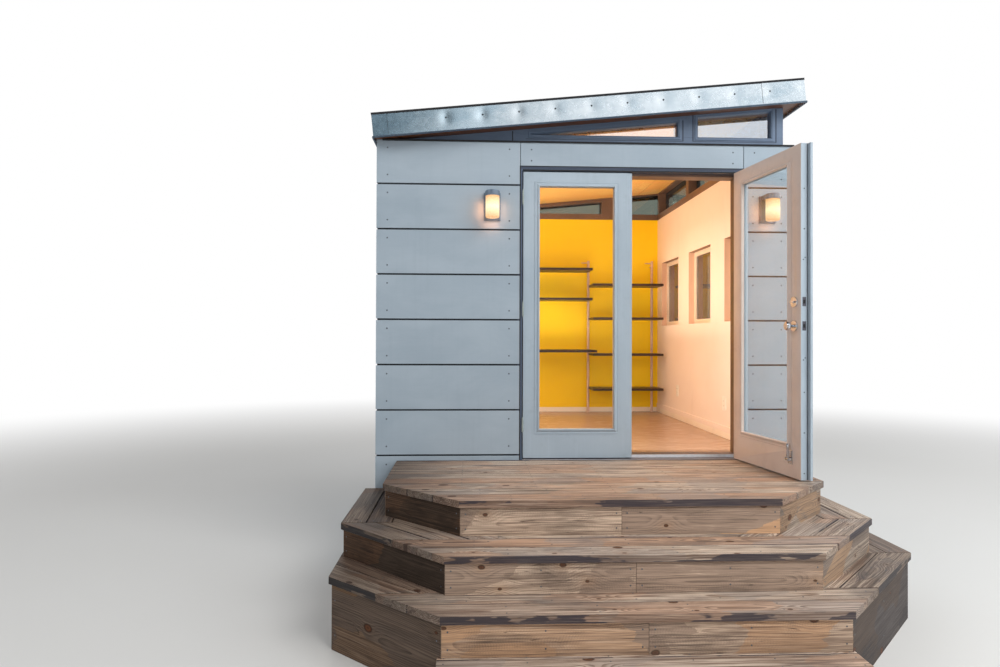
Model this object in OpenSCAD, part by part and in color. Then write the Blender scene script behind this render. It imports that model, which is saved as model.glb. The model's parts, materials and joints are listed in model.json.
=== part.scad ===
// Garden office pod with a timber landing, stacked steps and a pair of glazed doors.
// X runs along the door wall, Y runs into the room, Z is up.
// The origin is on the ground, under the middle of the room.

/* [Room] */
// Width over the front cladding
pod_w = 2970; // [2600:5:3800]
// Depth over the cladding, front to back
pod_d = 3110; // [2800:5:4200]
// Height of the cladding's top edge above the landing
wall_h = 2246; // [2200:1:2600]
// Thickness of the framed wall behind the cladding
wall_t = 162; // [120:1:200]
// Height of the floor's surface above the landing
floor_rise = 24; // [16:1:40]
// Depth of the joisted floor deck
deck_t = 208; // [150:1:300]
// Side of the square pier under the middle of the floor
pier_w = 300; // [200:10:500]

/* [Cladding] */
// Thickness of the cladding boards
clad_t = 8; // [6:1:12]
// Height from one board joint to the next
clad_pitch = 317; // [250:1:400]
// Open joint between boards
clad_gap = 12; // [6:1:20]
// Height of the first joint above the landing
clad_first = 35; // [10:1:120]
// Gap from the lowest board to the ground
clad_foot = 15; // [5:1:60]

/* [Clerestory] */
// Set-back of the high windows from the cladding
clere_back = 50; // [30:1:80]
// Height of the bottom rail above the wall's outer ledge
clere_sill = 61; // [40:1:90]
// The same height at the back and at the high side
clere_sill_side = 34; // [20:1:90]
// Depth that the frame reaches down behind the ledge
clere_drop = 31; // [10:1:120]
// Top rail over the long wedge pane
clere_rail = 38; // [20:1:60]
// Top rail over the short pane and the side panes
clere_rail_thin = 12; // [8:1:40]
// Width of the post at the high corner
clere_post = 86; // [60:1:140]
// Width of the short pane at the high corner
clere_short = 543; // [300:1:700]
// Width of the double mullion beside the short pane
clere_mullion = 140; // [60:1:200]
// Distance from the room's corner post to the first side mullion
clere_bay = 980; // [600:1:1200]
// Width of a side mullion
clere_side_mullion = 80; // [40:1:140]
// Thickness of the panes
pane_t = 10; // [6:1:24]

/* [Roof] */
// Roof slope in degrees, rising to the right
roof_slope = 5.625; // [3:0.125:9]
// Roof overhang past the front and back cladding
eave_y = 95; // [50:1:250]
// Overhang at the low side, measured along the slope
eave_low = 12; // [8:1:120]
// Overhang at the high side, measured along the slope
eave_high = 48; // [20:1:160]
// Height of the fascia
fascia_h = 168; // [140:1:240]
// Length of fascia that hangs below the soffit
fascia_drop = 18; // [5:1:40]
// Thickness of the fascia sheet
fascia_t = 3; // [2:0.5:6]
// Width of the fascia's top flange
fascia_flange = 45; // [20:1:90]
// Outward kick of the drip edge
drip_kick = 8; // [4:1:20]
// Thickness of the ceiling and soffit boards
ceiling_t = 20; // [12:1:30]
// Thickness of the roofing sheet
membrane_t = 6; // [3:1:8]

/* [Doors] */
// Width of one leaf
leaf_w = 777; // [650:1:900]
// Height of a leaf
leaf_h = 2025; // [1900:1:2080]
// Thickness of a leaf
leaf_t = 44; // [36:1:54]
// Left face of the left jamb's opening, from the room's centre line
door_x = -460; // [-560:1:-300]
// Working gap round a leaf
leaf_gap = 5; // [5:1:8]
// Height of the leaf's bottom edge above the landing
leaf_lift = 10; // [8:1:14]
// Depth from the cladding's face to the leaf's outer face
leaf_back = 10; // [8:1:24]
// Width of the hinge stile up to the glass
stile_hinge = 110; // [90:1:160]
// Width of the meeting stile up to the glass
stile_meet = 122; // [100:1:170]
// Height of the top rail
rail_top = 97; // [90:1:180]
// Height of the bottom rail
rail_low = 198; // [150:1:320]
// Width of the glazing bead
bead_w = 28; // [16:1:40]
// Depth of the bead below the leaf's face
bead_step = 6; // [3:1:10]
// Thickness of the double glazing in a leaf
leaf_pane_t = 20; // [12:1:28]
// Width of the rebate for the meeting strip
meet_w = 33; // [20:1:40]
// Angle of the right leaf in its resting place
open_angle = 98; // [0:1:120]
// Thickness of the door jambs
jamb_t = 35; // [25:1:45]
// Projection of the door stop into the opening
stop_w = 15; // [10:1:20]

/* [Door hardware] */
// Radius of a hinge knuckle
knuckle_r = 6; // [5:0.5:8]
// Length of a hinge
hinge_len = 102; // [80:1:120]
// Radius of a hinge pin
pin_r = 3; // [2:0.5:4]
// Clearance round a pin
pin_fit = 0.08; // [0.03:0.01:0.1]
// Height of the knob above the leaf's bottom
knob_z = 925; // [850:1:1050]
// Rise from the knob to the thumb turn
bolt_rise = 146; // [110:1:200]
// Distance from the leaf's free edge to the knob's centre
backset = 62; // [50:1:80]
// Height of the holder's pin above the leaf's bottom
holder_z = 110; // [110:1:180]

/* [Side windows] */
// Width of a side window
win_w = 610; // [400:1:800]
// Height of a side window
win_h = 700; // [400:1:900]
// Height of its lower edge above the landing
win_z = 1003; // [800:1:1200]
// Distance between window centres
win_pitch = 945; // [850:1:1100]
// Distance from the front cladding to the first window's centre
win_first = 572; // [450:1:700]
// Width of the sash's face
sash_w = 42; // [25:1:60]
// Depth of the sash
sash_d = 107; // [40:1:140]
// Distance from the sash's face in the room to its pane
sash_pane = 16; // [8:1:40]

/* [Lamps] */
// Width of a wall lamp
lamp_w = 118; // [80:1:160]
// Height of a wall lamp
lamp_h = 195; // [140:1:260]
// Height of its lower edge above the landing
lamp_z = 1681; // [1500:1:1800]
// Reach of the lamp from the cladding
lamp_reach = 145; // [110:1:180]

/* [Steps] */
// Rise of one step
riser = 190; // [150:1:200]
// Thickness of the tread boards
board_t = 38; // [25:1:50]
// Width of the tread boards
board_w = 140; // [90:1:190]
// Gap between tread boards
board_gap = 5; // [3:1:12]
// Thickness of the risers and frames
skirt_t = 38; // [25:1:50]
// Set-back of the risers under the nosing
nosing = 15; // [10:1:35]
// Distance between the carriages under the treads
carriage_pitch = 406; // [300:1:480]
// Half width of the landing
landing_half = 1320; // [1100:5:1500]
// Depth of the landing
landing_d = 1200; // [900:5:1600]
// Cut-off of the landing's corners, across and back
landing_cut = [454, 436]; // [200:1:600]
// Half width of the second step
second_half = 1538; // [1300:5:1800]
// Tread depth of the second step at the front
second_tread = 320; // [280:1:400]
// Cut-off of the second step's corners
second_cut = [604, 620]; // [300:1:800]
// Reach of the third step past the second at its right side
third_side = 208; // [150:1:300]
// Tread depth of the third step at the front
third_tread = 238; // [220:1:400]
// Cut-off of the third step's left corner
third_cut_left = [598, 534]; // [300:1:900]
// Cut-off of the third step's right corner
third_cut_right = [799, 820]; // [300:1:1000]
// Half width of the lowest step
fourth_half = 955; // [700:5:1200]
// Tread depth of the lowest step
fourth_tread = 290; // [240:1:400]

/* [Shelves] */
// Width of one shelf bay
bay_w = 726; // [500:1:900]
// Depth of a shelf
shelf_d = 300; // [200:1:400]
// Depth of the desk board
desk_d = 560; // [400:1:700]
// Thickness of a shelf
shelf_t = 25; // [18:1:40]
// Height of the posts above the floor
post_h = 1710; // [1400:1:2000]
// Width of a round shelf post
post_w = 28; // [20:1:50]

/* [Hidden] */

// Main planes
landing_z = 4 * riser;
deck_top = landing_z;
deck_low = deck_top - deck_t;
floor_z = landing_z + floor_rise;
ledge_z = landing_z + wall_h;
notch_z = ledge_z - clere_drop;
face_x = pod_w / 2;
face_y = pod_d / 2;
wall_x = face_x - clad_t;
wall_y = face_y - clad_t;
room_x = wall_x - wall_t;
room_y = wall_y - wall_t;
frame_x = face_x - clere_back;
frame_y = face_y - clere_back;
slope = tan(roof_slope);
function roof_z(x) = ledge_z + (x + face_x) * slope;
// Walls and frames stop a hair below the ceiling boards, and members a hair from each other
hair = 0.15;
function wall_top(x) = roof_z(x) - hair;

// Roof sizes, measured along the slope
roof_run = pod_w / cos(roof_slope);
roof_x0 = -eave_low;
roof_x1 = roof_run + eave_high;
roof_y = face_y + eave_y;
roof_top = fascia_h - fascia_drop;

// Door planes
door_w = 2 * leaf_w + 3 * leaf_gap;
door_x1 = door_x + door_w;
leaf_z = landing_z + leaf_lift;
leaf_y = -face_y + leaf_back;
head_z = leaf_z + leaf_h + leaf_gap;
stop_y = leaf_y + leaf_t + leaf_gap;
pivot_y = -face_y - knuckle_r - 1;
left_pivot = [door_x + leaf_gap / 2, pivot_y];
right_pivot = [door_x1 - leaf_gap / 2, pivot_y];
left_leaf_x = door_x + leaf_gap;
right_leaf_x = door_x1 - leaf_gap - leaf_w;
plate_t = 2;
hinge_levels = [187, 1000, 1790];
casing_w = 16;
casing_fit = 2;
strip_t = 14;
knob_r = 27;
rose_r = 32;
spindle_r = 6;
rose_t = 8;
edge_t = 2;
turn_gap = 0.3;
holder_in = 105;
holder_pin_r = 3;
holder_pin_out = 20;
header_low = head_z + 13;
clad_slot = 3;

// Step planes
steps_x = -15;
step_back = -face_y - 8;
landing_front = -face_y - landing_d;
second_front = landing_front - second_tread;
third_front = second_front - third_tread;
fourth_front = third_front - fourth_tread;
pitch = board_w + board_gap;
skirt_in = nosing + skirt_t;

function chamfered(left, right, front, cut_left, cut_right) = [
  [left, step_back],
  [left, front + cut_left[1]],
  [left + cut_left[0], front],
  [right - cut_right[0], front],
  [right, front + cut_right[1]],
  [right, step_back]
];
landing_path = chamfered(steps_x - landing_half, steps_x + landing_half, landing_front,
  landing_cut, landing_cut);
second_path = chamfered(steps_x - second_half, steps_x + second_half, second_front,
  second_cut, second_cut);
third_path = chamfered(steps_x - second_half, steps_x + second_half + third_side, third_front,
  third_cut_left, third_cut_right);
fourth_path = [
  [steps_x - fourth_half, third_front + nosing - 1],
  [steps_x - fourth_half, fourth_front],
  [steps_x + fourth_half, fourth_front],
  [steps_x + fourth_half, third_front + nosing - 1]
];
carriage_x = [for (k = [-2:2]) steps_x + k * carriage_pitch];

// Unit normal that points to the inside of a path run from back left round to back right
function inward(a, b) = let (u = (b - a) / norm(b - a)) [-u[1], u[0]];
function inset_point(p, i, d) = i == 0
  ? p[0] + d * inward(p[0], p[1])
  : i == len(p) - 1
    ? p[i] + d * inward(p[i - 1], p[i])
    : let (a = inward(p[i - 1], p[i]), b = inward(p[i], p[i + 1])) p[i] + d * (a + b) / (1 + a * b);
function mitred(p, i, near, far) = [
  inset_point(p, i, near), inset_point(p, i + 1, near), inset_point(p, i + 1, far), inset_point(p, i, far)
];
// One riser board between two mitres, held just clear of its neighbours
mitre_gap = 0.4;
function band(p, i, near, far) = let (u = (p[i + 1] - p[i]) / norm(p[i + 1] - p[i]) * mitre_gap / 2) [
  inset_point(p, i, near) + u, inset_point(p, i + 1, near) - u,
  inset_point(p, i + 1, far) - u, inset_point(p, i, far) + u
];

// Box between two corners
module span(a, b) {
  translate(a) cube(b - a);
}

// Everything above the walls is drawn on the slope
module on_slope() {
  translate([-face_x, 0, ledge_z]) rotate([0, -roof_slope, 0]) children();
}

// Prism of an X-Z outline between two Y planes
module upright(outline, y0, y1) {
  translate([0, y1, 0]) rotate([90, 0, 0]) linear_extrude(y1 - y0) polygon(outline);
}

// Foundation and floor
module foundation() {
  color("dimgray") {
    span([-wall_x, -wall_y, 0], [wall_x, -room_y, deck_low]);
    span([-wall_x, room_y, 0], [wall_x, wall_y, deck_low]);
    for (s = [-1, 1])
      translate([s * (room_x + wall_t / 2), 0, deck_low / 2])
        cube([wall_t, 2 * room_y - 2, deck_low], center = true);
    span([-pier_w / 2, -pier_w / 2, 0], [pier_w / 2, pier_w / 2, deck_low]);
  }
}

module floor_deck() {
  color("dimgray") span([-wall_x, -wall_y, deck_low], [wall_x, wall_y, deck_top]);
}

module floor_boards() {
  color("saddlebrown") span([-room_x, -room_y, deck_top], [room_x, room_y, floor_z]);
}

// A front or back wall between two X planes, notched for the clerestory behind its ledge
module long_wall(x0, x1, low) {
  difference() {
    span([x0, -wall_y, low], [x1, -room_y, ledge_z]);
    span([x0 - 1, -frame_y, notch_z], [x1 + 1, -room_y + 1, ledge_z + 1]);
  }
}

module front_wall_left() {
  color("slategray") long_wall(-wall_x, door_x - jamb_t, deck_top);
}

module front_wall_right() {
  color("slategray") long_wall(door_x1 + jamb_t, wall_x, deck_top);
}

module front_wall_header() {
  color("slategray") long_wall(door_x - jamb_t, door_x1 + jamb_t, head_z + jamb_t);
}

module back_wall() {
  color("gold") mirror([0, 1, 0]) long_wall(-wall_x, wall_x, deck_top);
}

module left_wall() {
  color("slategray")
    upright([[-wall_x, deck_top], [-room_x, deck_top], [-room_x, wall_top(-room_x)],
        [-wall_x, wall_top(-wall_x)]],
      -room_y, room_y);
}

function win_y(i) = -face_y + win_first + i * win_pitch;
win_low = landing_z + win_z;
windows = [for (i = [0:2]) if (win_y(i) + win_w / 2 < room_y - 50) i];

module window_holes(x0, x1, grow) {
  for (i = windows)
    span([x0, win_y(i) - win_w / 2 - grow, win_low - grow],
      [x1, win_y(i) + win_w / 2 + grow, win_low + win_h + grow]);
}

module right_wall() {
  color("peachpuff") difference() {
    span([room_x, -room_y, deck_top], [wall_x, room_y, ledge_z]);
    span([room_x - 1, -room_y - 1, notch_z], [frame_x, room_y + 1, ledge_z + 1]);
    window_holes(room_x - 1, wall_x + 1, 0);
  }
}

// Cladding boards: rows between open joints, each cut to a lower and upper limit
joint_zero = landing_z + clad_first;
first_row = -ceil((joint_zero - clad_foot) / clad_pitch);
last_row = ceil((ledge_z - joint_zero) / clad_pitch) - 1;
function row_low(k) = max(clad_foot, joint_zero + k * clad_pitch + clad_gap / 2);
function row_high(k) = min(ledge_z, joint_zero + (k + 1) * clad_pitch - clad_gap / 2);

module board_rows(length) {
  for (k = [first_row:last_row])
    if (row_high(k) - row_low(k) > 2 * clad_gap)
      translate([0, -clad_t, row_low(k)]) cube([length, clad_t, row_high(k) - row_low(k)]);
}

module front_cladding() {
  color("lightsteelblue") {
    translate([-face_x, -wall_y, 0]) board_rows(door_x - casing_w - casing_fit + face_x);
    translate([door_x1 + casing_w + casing_fit, -wall_y, 0])
      board_rows(face_x - door_x1 - casing_w - casing_fit);
    span([door_x - casing_w + casing_fit, -face_y, header_low],
      [door_x1 + casing_w - casing_fit, -wall_y, ledge_z]);
  }
}

// Two columns of boards on a side or back wall
module board_columns(length) {
  half = (length - clad_gap) / 2;
  board_rows(half);
  translate([half + clad_gap, 0, 0]) board_rows(half);
}

module left_cladding() {
  color("lightsteelblue") translate([-wall_x, wall_y, 0]) rotate([0, 0, -90]) board_columns(2 * wall_y);
}

module right_cladding() {
  color("lightsteelblue") difference() {
    translate([wall_x, -wall_y, 0]) rotate([0, 0, 90]) board_columns(2 * wall_y);
    window_holes(wall_x - 1, face_x + 1, clad_slot);
  }
}

module back_cladding() {
  color("lightsteelblue") translate([face_x, wall_y, 0]) rotate([0, 0, 180]) board_columns(pod_w);
}

// Black flashing that caps the ledge under the clerestory, with a turned-down lip
flash_t = 3;
flash_out = 4;
flash_lip = 10;
module flashing_strip(length) {
  translate([0, -flash_out - flash_t, 0]) cube([length, clere_back + flash_out + flash_t, flash_t]);
  translate([0, -flash_out - flash_t, -flash_lip]) cube([length, flash_t, flash_lip + flash_t]);
}

// The strips start where the sloping soffit leaves room for them
flash_start = (flash_t + 1) / slope;
module ledge_flashing() {
  reach = flash_out + flash_t;
  color("black") {
    for (s = [0, 1])
      mirror([0, s, 0]) translate([-face_x + flash_start, -face_y, ledge_z])
        flashing_strip(pod_w - flash_start + reach);
    translate([face_x, -face_y + clere_back + 1, ledge_z]) rotate([0, 0, 90])
      flashing_strip(pod_d - 2 * clere_back - 2);
  }
}

// Clerestory: the long wedge pane, the short pane and the side panes
short_x1 = frame_x - clere_post;
short_x0 = short_x1 - clere_short;
wedge_x1 = short_x0 - clere_mullion;
front_low = ledge_z + clere_sill;
side_low = ledge_z + clere_sill_side;
wedge_tip_h = 8;
function wedge_start(low) = (low + wedge_tip_h + clere_rail - ledge_z) / slope - face_x;
function under_rail(x, rail) = roof_z(x) - rail - hair;
function wedge_pane(low) = let (x0 = wedge_start(low)) [
  [x0, low], [wedge_x1, low], [wedge_x1, under_rail(wedge_x1, clere_rail)], [x0, under_rail(x0, clere_rail)]
];
function short_pane(low) = [
  [short_x0, low], [short_x1, low],
  [short_x1, under_rail(short_x1, clere_rail_thin)], [short_x0, under_rail(short_x0, clere_rail_thin)]
];
pane_back = 30;

// Long members lie along X; each is cut by the roof line
module member(outline) {
  upright(outline, -frame_y, -room_y);
}

module post(x0, x1, low) {
  member([[x0, low + hair], [x1, low + hair], [x1, wall_top(x1)], [x0, wall_top(x0)]]);
}

module head_rail(x0, x1, rail) {
  a = x0 + hair;
  b = x1 - hair;
  member([[a, roof_z(a) - rail], [b, roof_z(b) - rail], [b, wall_top(b)], [a, wall_top(a)]]);
}

module gable_frame(low) {
  half = clere_mullion / 2;
  x0 = wedge_start(low);
  tip_x = (low + hair - ledge_z) / slope - face_x;
  lap_x = tip_x + hair / slope;
  member([[-wall_x, notch_z], [frame_x, notch_z], [frame_x, low], [tip_x, low], [-wall_x, wall_top(-wall_x)]]);
  member([[lap_x, low + hair], [x0, low + hair], [x0, wall_top(x0)]]);
  head_rail(x0, wedge_x1, clere_rail);
  post(wedge_x1, wedge_x1 + half - hair, low);
  post(wedge_x1 + half, short_x0, low);
  head_rail(short_x0, short_x1, clere_rail_thin);
  post(short_x1, frame_x, low);
}

module front_clerestory_frame() {
  color("darkslategray") gable_frame(front_low);
}

module back_clerestory_frame() {
  color("darkslategray") mirror([0, 1, 0]) gable_frame(side_low);
}

// Side panes, counted from the back corner towards the front
side_y1 = room_y - 50;
side_panes = [
  [side_y1 - clere_bay, side_y1],
  [side_y1 - 2 * clere_bay - clere_side_mullion, side_y1 - clere_bay - clere_side_mullion],
  [-room_y + 60, side_y1 - 2 * clere_bay - 2 * clere_side_mullion]
];
side_top = roof_z(room_x) - clere_rail_thin;

module side_pane_holes(x0, x1) {
  for (p = side_panes)
    if (p[1] - p[0] > 100)
      span([x0, p[0], side_low], [x1, p[1], side_top]);
}

module right_clerestory_frame() {
  side_y0 = -room_y + hair;
  y1 = room_y - hair;
  open = [for (p = side_panes) if (p[1] - p[0] > 100) p];
  posts = concat([y1], [for (p = open) each [p[1], p[0]]], [side_y0]);
  color("darkslategray") {
    span([room_x, side_y0, notch_z], [frame_x, y1, side_low]);
    upright([[room_x, side_top], [frame_x, side_top], [frame_x, wall_top(frame_x)],
        [room_x, wall_top(room_x)]], side_y0, y1);
    for (k = [0:2:len(posts) - 2])
      span([room_x, posts[k + 1], side_low + hair], [frame_x, posts[k], side_top - hair]);
  }
}

module window_glass() {
  color("lightblue", 0.5) {
    for (s = [0, 1])
      mirror([0, s, 0]) {
        low = s == 0 ? front_low : side_low;
        upright(wedge_pane(low), -frame_y + pane_back, -frame_y + pane_back + pane_t);
        upright(short_pane(low), -frame_y + pane_back, -frame_y + pane_back + pane_t);
      }
    side_pane_holes(frame_x - pane_back - pane_t, frame_x - pane_back);
    for (i = windows)
      span([wall_x - sash_d + sash_pane, win_y(i) - win_w / 2 + sash_w, win_low + sash_w],
        [wall_x - sash_d + sash_pane + pane_t, win_y(i) + win_w / 2 - sash_w, win_low + win_h - sash_w]);
  }
}

// Side window sashes, proud of the cladding
sash_out = 12;
module side_window_frames() {
  color("dimgray") for (i = windows)
    difference() {
      span([wall_x - sash_d, win_y(i) - win_w / 2, win_low],
        [face_x + sash_out, win_y(i) + win_w / 2, win_low + win_h]);
      span([wall_x - sash_d - 1, win_y(i) - win_w / 2 + sash_w, win_low + sash_w],
        [face_x + sash_out + 1, win_y(i) + win_w / 2 - sash_w, win_low + win_h - sash_w]);
    }
}

// Roof
module ceiling_boards() {
  color("sandybrown") on_slope()
    span([roof_x0 + fascia_t + hair, -roof_y + fascia_t + hair, 0],
      [roof_x1 - fascia_t - hair, roof_y - fascia_t - hair, ceiling_t]);
}

module roof_panel() {
  color("dimgray") on_slope()
    span([roof_x0 + fascia_t + hair, -roof_y + fascia_t + hair, ceiling_t + hair],
      [roof_x1 - fascia_t - hair, roof_y - fascia_t - hair, roof_top - fascia_t - hair]);
}

module roof_membrane() {
  lap = 3;
  color("black") on_slope()
    span([roof_x0 - lap, -roof_y - lap, roof_top + hair],
      [roof_x1 + lap, roof_y + lap, roof_top + membrane_t]);
}

// One length of fascia: sheet, top flange and drip edge. Each runs between its own two ends.
module fascia_length(sheet, flange, drip) {
  rotate([90, 0, 90]) {
    translate([0, 0, sheet[0]]) linear_extrude(sheet[1] - sheet[0])
      polygon([[0, -fascia_drop], [fascia_t, -fascia_drop], [fascia_t, roof_top], [0, roof_top]]);
    translate([0, 0, flange[0]]) linear_extrude(flange[1] - flange[0])
      polygon([[1, roof_top - fascia_t], [fascia_flange, roof_top - fascia_t], [fascia_flange, roof_top],
        [1, roof_top]]);
    translate([0, 0, drip[0]]) linear_extrude(drip[1] - drip[0])
      polygon([[-drip_kick, -fascia_drop - 2], [1, -fascia_drop], [1, -fascia_drop + fascia_t],
        [-drip_kick, -fascia_drop + fascia_t - 2]]);
  }
}

module roof_fascia() {
  run = [roof_x0, roof_x1];
  run_flange = [roof_x0 + fascia_t + hair, roof_x1 - fascia_t - hair];
  side = roof_y - fascia_t - hair;
  side_flange = roof_y - fascia_flange - hair;
  color("lightgray") on_slope() {
    for (s = [0, 1])
      mirror([0, s, 0]) translate([0, -roof_y, 0])
        fascia_length(run, run_flange, [roof_x0 - drip_kick, roof_x1 + drip_kick]);
    translate([roof_x0, 0, 0]) mirror([1, 0, 0]) rotate([0, 0, 90])
      fascia_length([-side, side], [-side_flange, side_flange], [-side, side]);
    translate([roof_x1, 0, 0]) rotate([0, 0, 90])
      fascia_length([-side, side], [-side_flange, side_flange], [-side, side]);
  }
}

// Door frame: jambs, head, stops and the narrow casing beside the cladding
module door_frame() {
  sill_low = deck_top;
  color("slategray") difference() {
    union() {
      span([door_x - jamb_t, -wall_y, sill_low], [door_x1 + jamb_t, -room_y, head_z + jamb_t]);
      span([door_x - casing_w, -face_y, sill_low], [door_x1 + casing_w, -wall_y + 1, header_low - 1]);
    }
    span([door_x, -face_y - 1, sill_low - 1], [door_x1, stop_y, head_z]);
    span([door_x + stop_w, -face_y - 1, sill_low - 1], [door_x1 - stop_w, -room_y + 1, head_z - stop_w]);
  }
}

module door_sill() {
  thin = 3;
  lip = 6;
  color("silver") {
    span([door_x, -face_y - lip, deck_top], [door_x1, stop_y, deck_top + thin]);
    span([door_x + stop_w, stop_y, deck_top], [door_x1 - stop_w, -room_y, floor_z]);
  }
}

// Hinges: five knuckles, of which the fixed half has the first, middle and last, and the pin
knuckle_len = hinge_len / 5;
knuckle_gap = 0.5;
function pivots() = [left_pivot, right_pivot];

// A plate from the pin's plane to its end in the rebate, between two heights
module plate(x0, x1, z0, z1, from) {
  span([min(x0, x1), from, z0], [max(x0, x1), leaf_y + leaf_t - 8, z1]);
}

module door_hinges() {
  color("khaki") for (side = [0, 1], level = hinge_levels) {
    p = pivots()[side];
    z0 = leaf_z + level;
    face = side == 0 ? [door_x, door_x + plate_t] : [door_x1 - plate_t, door_x1];
    for (k = [0, 2, 4]) {
      translate([p[0], p[1], z0 + k * knuckle_len]) cylinder(r = knuckle_r, h = knuckle_len, $fn = 32);
      plate(face[0], face[1], z0 + k * knuckle_len, z0 + (k + 1) * knuckle_len, p[1]);
    }
    translate([p[0], p[1], z0 - 3]) cylinder(r = pin_r, h = hinge_len + 6, $fn = 32);
    plate(face[0], face[1], z0, z0 + hinge_len, -face_y + 1);
  }
}

// Moving half of the hinges, drawn for a closed leaf; edge is the leaf's hinge edge
module leaf_hinges(pivot, edge, inner) {
  for (level = hinge_levels)
    difference() {
      union() {
        for (k = [1, 3]) {
          z0 = leaf_z + level + k * knuckle_len + knuckle_gap;
          z1 = z0 + knuckle_len - 2 * knuckle_gap;
          translate([pivot[0], pivot[1], z0]) cylinder(r = knuckle_r, h = z1 - z0, $fn = 32);
          plate(edge, inner, z0, z1, pivot[1]);
        }
        plate(edge, inner, leaf_z + level, leaf_z + level + hinge_len, leaf_y);
      }
      translate([pivot[0], pivot[1], leaf_z + level - 1])
        cylinder(r = pin_r + pin_fit, h = hinge_len + 2, $fn = 32);
    }
}

module left_leaf_hinges() {
  color("khaki") leaf_hinges(left_pivot, left_leaf_x, left_leaf_x - plate_t);
}

// The right leaf stands open
module swung() {
  translate([right_pivot[0], right_pivot[1], 0]) rotate([0, 0, open_angle])
    translate([-right_pivot[0], -right_pivot[1], 0]) children();
}

module right_leaf_hinges() {
  color("khaki") swung() leaf_hinges(right_pivot, right_leaf_x + leaf_w, right_leaf_x + leaf_w + plate_t);
}

// A glazed leaf, drawn closed, with its hinge stile at the lower X end
module leaf_frame(x0) {
  glass_x0 = x0 + stile_hinge;
  glass_x1 = x0 + leaf_w - stile_meet;
  z0 = leaf_z;
  difference() {
    span([x0, leaf_y, z0], [x0 + leaf_w, leaf_y + leaf_t, z0 + leaf_h]);
    span([glass_x0, leaf_y - 1, z0 + rail_low], [glass_x1, leaf_y + leaf_t + 1, z0 + leaf_h - rail_top]);
    for (y = [leaf_y - 1, leaf_y + leaf_t - bead_step])
      span([glass_x0 - bead_w, y, z0 + rail_low - bead_w],
        [glass_x1 + bead_w, y + bead_step + 1, z0 + leaf_h - rail_top + bead_w]);
  }
}

module leaf_pane(x0) {
  mid = leaf_y + leaf_t / 2;
  span([x0 + stile_hinge, mid - leaf_pane_t / 2, leaf_z + rail_low],
    [x0 + leaf_w - stile_meet, mid + leaf_pane_t / 2, leaf_z + leaf_h - rail_top]);
}

// The right leaf is the left one's mirror image about its own middle
module mirrored_leaf() {
  translate([2 * right_leaf_x + leaf_w, 0, 0]) mirror([1, 0, 0]) children();
}

module left_leaf() {
  color("lightsteelblue") difference() {
    leaf_frame(left_leaf_x);
    span([left_leaf_x + leaf_w - meet_w, leaf_y - 1, leaf_z - 1],
      [left_leaf_x + leaf_w + 1, leaf_y + 3, leaf_z + leaf_h + 1]);
  }
}

module left_leaf_glass() {
  color("lightblue", 0.5) leaf_pane(left_leaf_x);
}

// Places on the right leaf, drawn closed
lock_x = right_leaf_x + backset;
knob_axis_z = leaf_z + knob_z;
bolt_axis_z = knob_axis_z + bolt_rise;

module across_leaf(z, r, extra) {
  translate([lock_x, leaf_y - extra, z]) rotate([-90, 0, 0]) cylinder(r = r, h = leaf_t + 2 * extra, $fn = 48);
}

module right_leaf() {
  color("lightsteelblue") swung() difference() {
    mirrored_leaf() leaf_frame(right_leaf_x);
    across_leaf(knob_axis_z, spindle_r + pin_fit, 1);
    across_leaf(bolt_axis_z, spindle_r + pin_fit, 1);
    edge_plates(1);
  }
}

// Plates let into the free edge; over is how far the cut for them runs past the edge
module edge_plates(over) {
  for (z = [knob_axis_z, bolt_axis_z])
    span([right_leaf_x - over, leaf_y + leaf_t / 2 - 12, z - 28],
      [right_leaf_x + edge_t, leaf_y + leaf_t / 2 + 12, z + 28]);
}

module right_leaf_glass() {
  color("lightblue", 0.5) swung() mirrored_leaf() leaf_pane(right_leaf_x);
}

// Strip on the right leaf's outer face that laps over the left leaf
module meeting_strip() {
  lap = meet_w - leaf_gap - 4;
  color("lightsteelblue") swung() {
    span([right_leaf_x, leaf_y - leaf_gap - strip_t, leaf_z], [right_leaf_x + 20, leaf_y, leaf_z + leaf_h]);
    span([right_leaf_x - lap, leaf_y - leaf_gap - strip_t, leaf_z],
      [right_leaf_x, leaf_y - leaf_gap + 2, leaf_z + leaf_h]);
  }
}

// Roses on both faces and the two edge plates of the locks
module lock_plates() {
  color("silver") swung() {
    for (z = [knob_axis_z, bolt_axis_z])
      difference() {
        union() {
          translate([lock_x, leaf_y, z]) rotate([90, 0, 0]) cylinder(r = rose_r, h = rose_t, $fn = 48);
          translate([lock_x, leaf_y + leaf_t, z]) rotate([-90, 0, 0]) cylinder(r = rose_r, h = rose_t, $fn = 48);
        }
        across_leaf(z, spindle_r + pin_fit, rose_t + 1);
      }
    edge_plates(0);
  }
}

knob_reach = 62;
module knob_shape() {
  rotate_extrude($fn = 48)
    polygon([[0, 0], [9, 0], [9, 22], [20, 28], [knob_r, 38], [knob_r, 48], [20, knob_reach - 8],
      [0, knob_reach - 8]]);
}

module door_knob() {
  color("silver") swung() {
    across_leaf(knob_axis_z, spindle_r, rose_t + turn_gap + 0.5);
    translate([lock_x, leaf_y + leaf_t + rose_t + turn_gap, knob_axis_z]) rotate([-90, 0, 0]) knob_shape();
    translate([lock_x, leaf_y - rose_t - turn_gap, knob_axis_z]) rotate([90, 0, 0]) knob_shape();
  }
}

module thumb_turn() {
  color("silver") swung() {
    across_leaf(bolt_axis_z, spindle_r, rose_t - 2);
    translate([lock_x, leaf_y + leaf_t + rose_t - 2, bolt_axis_z]) rotate([-90, 0, 0])
      cylinder(r = spindle_r, h = 8, $fn = 48);
    translate([lock_x, leaf_y + leaf_t + rose_t + turn_gap + 8, bolt_axis_z])
      cube([34, 16, 8], center = true);
  }
}

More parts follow.
